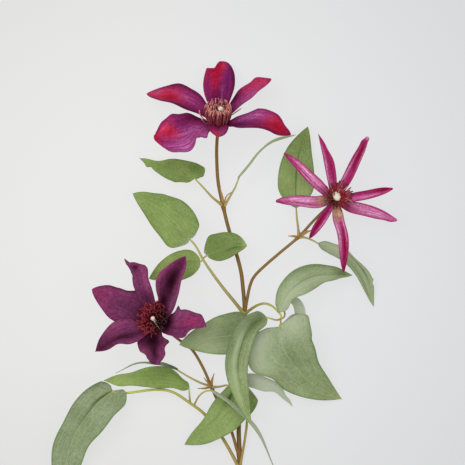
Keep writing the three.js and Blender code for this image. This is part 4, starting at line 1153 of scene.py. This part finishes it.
petal("left_flower", 6,
    "-72 130 37.5, -78 145 42, -80 153.8 41.5, -84.2 158 35, -89.5 160.2 32.5, -92.3 165 32",
    half=(7.5, 6.5), fold=(8, 4), bend=(-6, -10), at=0.5, neck=6.2, left=".92 2.6 .06",
    right=".68 -1.6 .05", rose=".55 .5 .25 .3 .35", violet=".5 -.4 .3 .5 .5",
    dark=".3 0 .12 1 .6, .8 .1 .06 .5 .8, .55 1 .35 .12 .6")

# %% [markdown]
# ## Stamens
# A crown of stamens stands round the pistil. On the crimson flower they are a tight barrel of stout
# filaments, on the star they are flat dark straps, and on the plum flower curly threads. Hair curves could
# draw them, but hair has no mesh to hand on, so each filament is a thin tube. Turning each one on by the
# golden angle spreads them evenly, and a fixed random seed makes them uneven in the same way each time. A
# few loose filaments of the crimson flower stray beyond the barrel, on ways of their own.

# %% Stamen material
def stamen_material(name, root, body, tip, other, dark, roughness):
    """root, body and tip are the colours along a filament, and other tints some filaments. dark is a mottle
    on all of them and also the painted shade on the collar and on the shaded side of the crown.
    """
    material, nodes = new_material(name, Specular_IOR_Level=0.3, Roughness=roughness)
    # gloom is painted shade: the dark colour over the collar and over the shaded side of the crown.
    along, shade, gloom = nodes.points("along", "shade", "gloom")
    patch = nodes.group(mottling, Size_mm=1.2, Contrast=2.0)["Mask"]
    colour = nodes.wash(
        nodes.blend(nodes.spread(shade, 0.5, 0.9), body, other),
        (patch, 0.3, dark),
        (nodes.spread(along, 0.45, 0.15), 1, root),
        (nodes.spread(along, 0.72, 0.97), 1, tip),
        (gloom, 1, dark),
    )
    nodes.shade(Base_Color=colour)
    return material


rose_stamen = stamen_material(
    "rose_stamen", (108, 42, 54), (186, 98, 104), (222, 146, 136), (158, 60, 78), (84, 28, 40), 0.5
)
wine_stamen = stamen_material(
    "wine_stamen", (128, 42, 42), (188, 28, 56), (100, 14, 34), (224, 130, 138), (98, 66, 40), 0.45
)
brick_stamen = stamen_material(
    "brick_stamen", (80, 16, 28), (142, 34, 48), (160, 46, 56), (100, 20, 38), (26, 6, 12), 0.5
)

# %% Make a crown of stamens
GOLDEN_ANGLE = math.pi * (3 - math.sqrt(5))
ROOT = (2.4, 1.0)  # the radius and height on the button where a filament starts
COLLAR_HEIGHTS = (0.2, 2.0, 4.0)
COLLAR_RADII = (3.3, 2.2)
TURN_STRAY = 0.15  # how far a filament may turn away from its even place, in radians
REACH_STRAY, RISE_STRAY = (0.88, 1.08), (0.9, 1.06)  # how its reach and its height may vary, as shares
LEAN_GAIN = 0.25  # how much further the filaments reach on the side to which the crown leans
ANTHER_AT, ANTHER_SPAN = 0.86, 0.1  # where a filament swells, as shares of its length
END_TAPER, END_SPAN = 0.45, 0.03


def on_flower(flower, radius, height, turn=0):
    """A point beside a flower's axis."""
    centre, axis = np.array(FLOWERS[flower]["centre"], float), unit(np.array(FLOWERS[flower]["axis"]))
    side = unit(np.cross(axis, (1.0, 0, 0)))
    other = np.cross(axis, side)
    return centre + axis * height + radius * (side * math.cos(turn) + other * math.sin(turn))


def crown(
    flower, skin, seed, count, reach, rise, bow, radii, flat, stray, swell,
    gloom=(0, 0), lean=(0, 0), loose=(),
):
    """Makes the filaments of a flower, on a low collar that is painted dark all over as shade. reach and rise
    are for the innermost and the outermost one, and bow gives points on each as shares of them. gloom is how
    strong the painted shade on one side of the crown is and where that side is, and lean is where the crown
    leans and how far. Each loose filament has a way of its own."""
    def anther(t, length):
        return 1 + swell * bell((t - ANTHER_AT) / ANTHER_SPAN) - END_TAPER * bell((t - 1) / END_SPAN)

    bundle = Bundle()
    random = np.random.default_rng(seed)
    collar = [on_flower(flower, 0, height) for height in COLLAR_HEIGHTS]
    # The collar is painted dark all over: painted shade deep inside the crown.
    tube(bundle, collar, COLLAR_RADII, 14, 0.8, face=(1, 0.2, 0), ribs=0.08, shade=0, gloom=1)
    for i in range(count + len(loose)):
        layer = min(1, (i + 0.5) / count)
        turn = i * GOLDEN_ANGLE + random.uniform(-TURN_STRAY, TURN_STRAY)
        far = (reach[0] + (reach[1] - reach[0]) * math.sqrt(layer)) * random.uniform(*REACH_STRAY)
        top = (rise[0] + (rise[1] - rise[0]) * layer**1.5) * random.uniform(*RISE_STRAY)
        far *= 1 + LEAN_GAIN * lean[1] * math.cos(turn - lean[0])
        route = [on_flower(flower, *ROOT, turn)]
        for share, height in rows(bow):
            off = random.normal(0, stray * share * 0.5, 3)
            route.append(on_flower(flower, far * share, top * height, turn) + off)
        if i >= count:
            route = rows(loose[i - count])
        shade = random.uniform(0, 1)
        # Painted shade: filaments on one side of the crown get more of the dark colour.
        dark = gloom[0] * min(1, max(0, 0.3 + math.cos(turn - gloom[1])) * random.uniform(0.5, 1))
        tube(
            bundle, route, radii, 7, 1.1, face=FLOWERS[flower]["axis"], ribs=0, flat=flat, shape=anther,
            shade=shade, gloom=dark,
        )
    bundle.finish(flower + "_filaments", skin, flower + "_stamens", flower.replace("flower", "stamens"))


# %% Crowns of stamens
crown("top_flower", rose_stamen, seed=7, count=115, reach=(2.6, 10.8), rise=(16, 18.5),
    bow=".72 .14, .92 .45, 1 .8, .95 1", radii=(0.5, 0.42), flat=1, stray=0.8, swell=0.2,
    loose=(
        "-20 274.5 36, -27 275.5 38, -31.5 279.5 38.5, -32.6 283.8 39",
        "-20 273.5 36, -27 272.8 37.5, -31.3 277.4 38",
        "-13 276 38, -5.5 280.5 39.5, 1.1 285.2 40",
    ))
crown("right_flower", wine_stamen, seed=11, count=92, reach=(3.0, 13), rise=(11.5, 8.0),
    bow=".4 .5, .72 .8, 1 1", radii=(0.85, 0.48), flat=0.45, stray=1.1, swell=0.1, gloom=(0.6, 2.3),
    lean=(-0.8, 1.1))
crown("left_flower", brick_stamen, seed=19, count=150, reach=(3.0, 14.3), rise=(14.0, 10.5),
    bow=".45 .4, .75 .75, .92 .95, 1 .9", radii=(0.5, 0.36), flat=0.8, stray=2.2, swell=0.3,
    gloom=(0.95, -1.9), lean=(0.6, 0.8))

# %% [markdown]
# ## Pistils
# In the middle stands the pale pistil, a short column with a rounded head. Its head is really a bunch of
# styles pressed together. They could be modelled one by one, but at this size only fine ridges show, so the
# column is a ribbed tube. On the plum flower one thin style hangs loose over the stamens.

# %% Pistil material
pistil_skin, nodes = new_material("pistil_skin", Specular_IOR_Level=0.3)
along, around = nodes.points("along", "around")
fine = nodes.group(streaks, Across=around, Run=along, Count=9.0, Drift=0.5)["Mask"]
foot = (nodes.spread(along, 0.55, 0.2), 1, (150, 120, 90))
nodes.shade(
    Base_Color=nodes.wash(nodes.blend(fine, (252, 245, 230), (224, 210, 186)), foot),
    Roughness=nodes.spread(fine, 0, 1, 0.5, 0.65),
)


# %% Make a pistil
PISTIL_FOOT = 0.4  # the height on the button where the column starts
THREAD_SHARE = 0.6  # the loose style has the browner colours of the lower part of a column


def pistil(flower, radius, height, aside, flat, thread=""):
    """Makes the column with its head, which may stand a little aside, and a loose style if there is one."""
    head = min(height * 0.45, radius * 1.9) / height
    shares = [0, 1 - head, 1 - 0.75 * head, 1 - 0.45 * head, 1 - 0.15 * head, 1]

    def column(t, length):
        return np.interp(t, shares, [0.6, 0.55, 0.88, 1.0, 0.75, 0.35])

    bundle = Bundle()
    route = [
        on_flower(flower, 0, PISTIL_FOOT + (height - PISTIL_FOOT) * share) + share * np.array([*aside, 0])
        for share in (0, 0.5, 1)
    ]
    tube(bundle, route, (radius, radius), 24, 0.35, face=(1, 0.2, 0), ribs=0.05, flat=flat, shape=column)
    if thread:
        tube(bundle, rows(thread), (0.12, 0.24), 8, 0.8)
        bundle.values["along"][-1] = THREAD_SHARE * bundle.values["along"][-1]
    bundle.finish(flower + "_pistil_head", pistil_skin, flower + "_pistil", "pistil")


# %% Pistils
pistil("top_flower", radius=2.2, height=18, aside=(1.7, -1.2), flat=1)
pistil("right_flower", radius=4.0, height=10.5, aside=(-0.2, 1.7), flat=0.8)
pistil("left_flower", radius=1.9, height=14, aside=(0, 1), flat=1,
    thread="-63.6 108.6 50.5, -65 110.6 51.5, -67.5 114 51, -69.6 117.2 48.6")

# %% [markdown]
# ## Measure and finish
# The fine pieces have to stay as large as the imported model, so both boxes are printed.

# %% Measure and finish
final_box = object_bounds()
for label, (low, high) in (("packed model", cad_box), ("finished scene", final_box)):
    print(label, [round(1000 * v, 1) for v in low], [round(1000 * v, 1) for v in high])
plain = lambda box: [[float(v) for v in corner] for corner in box]
{"cad": plain(cad_box), "visual": plain(final_box)}
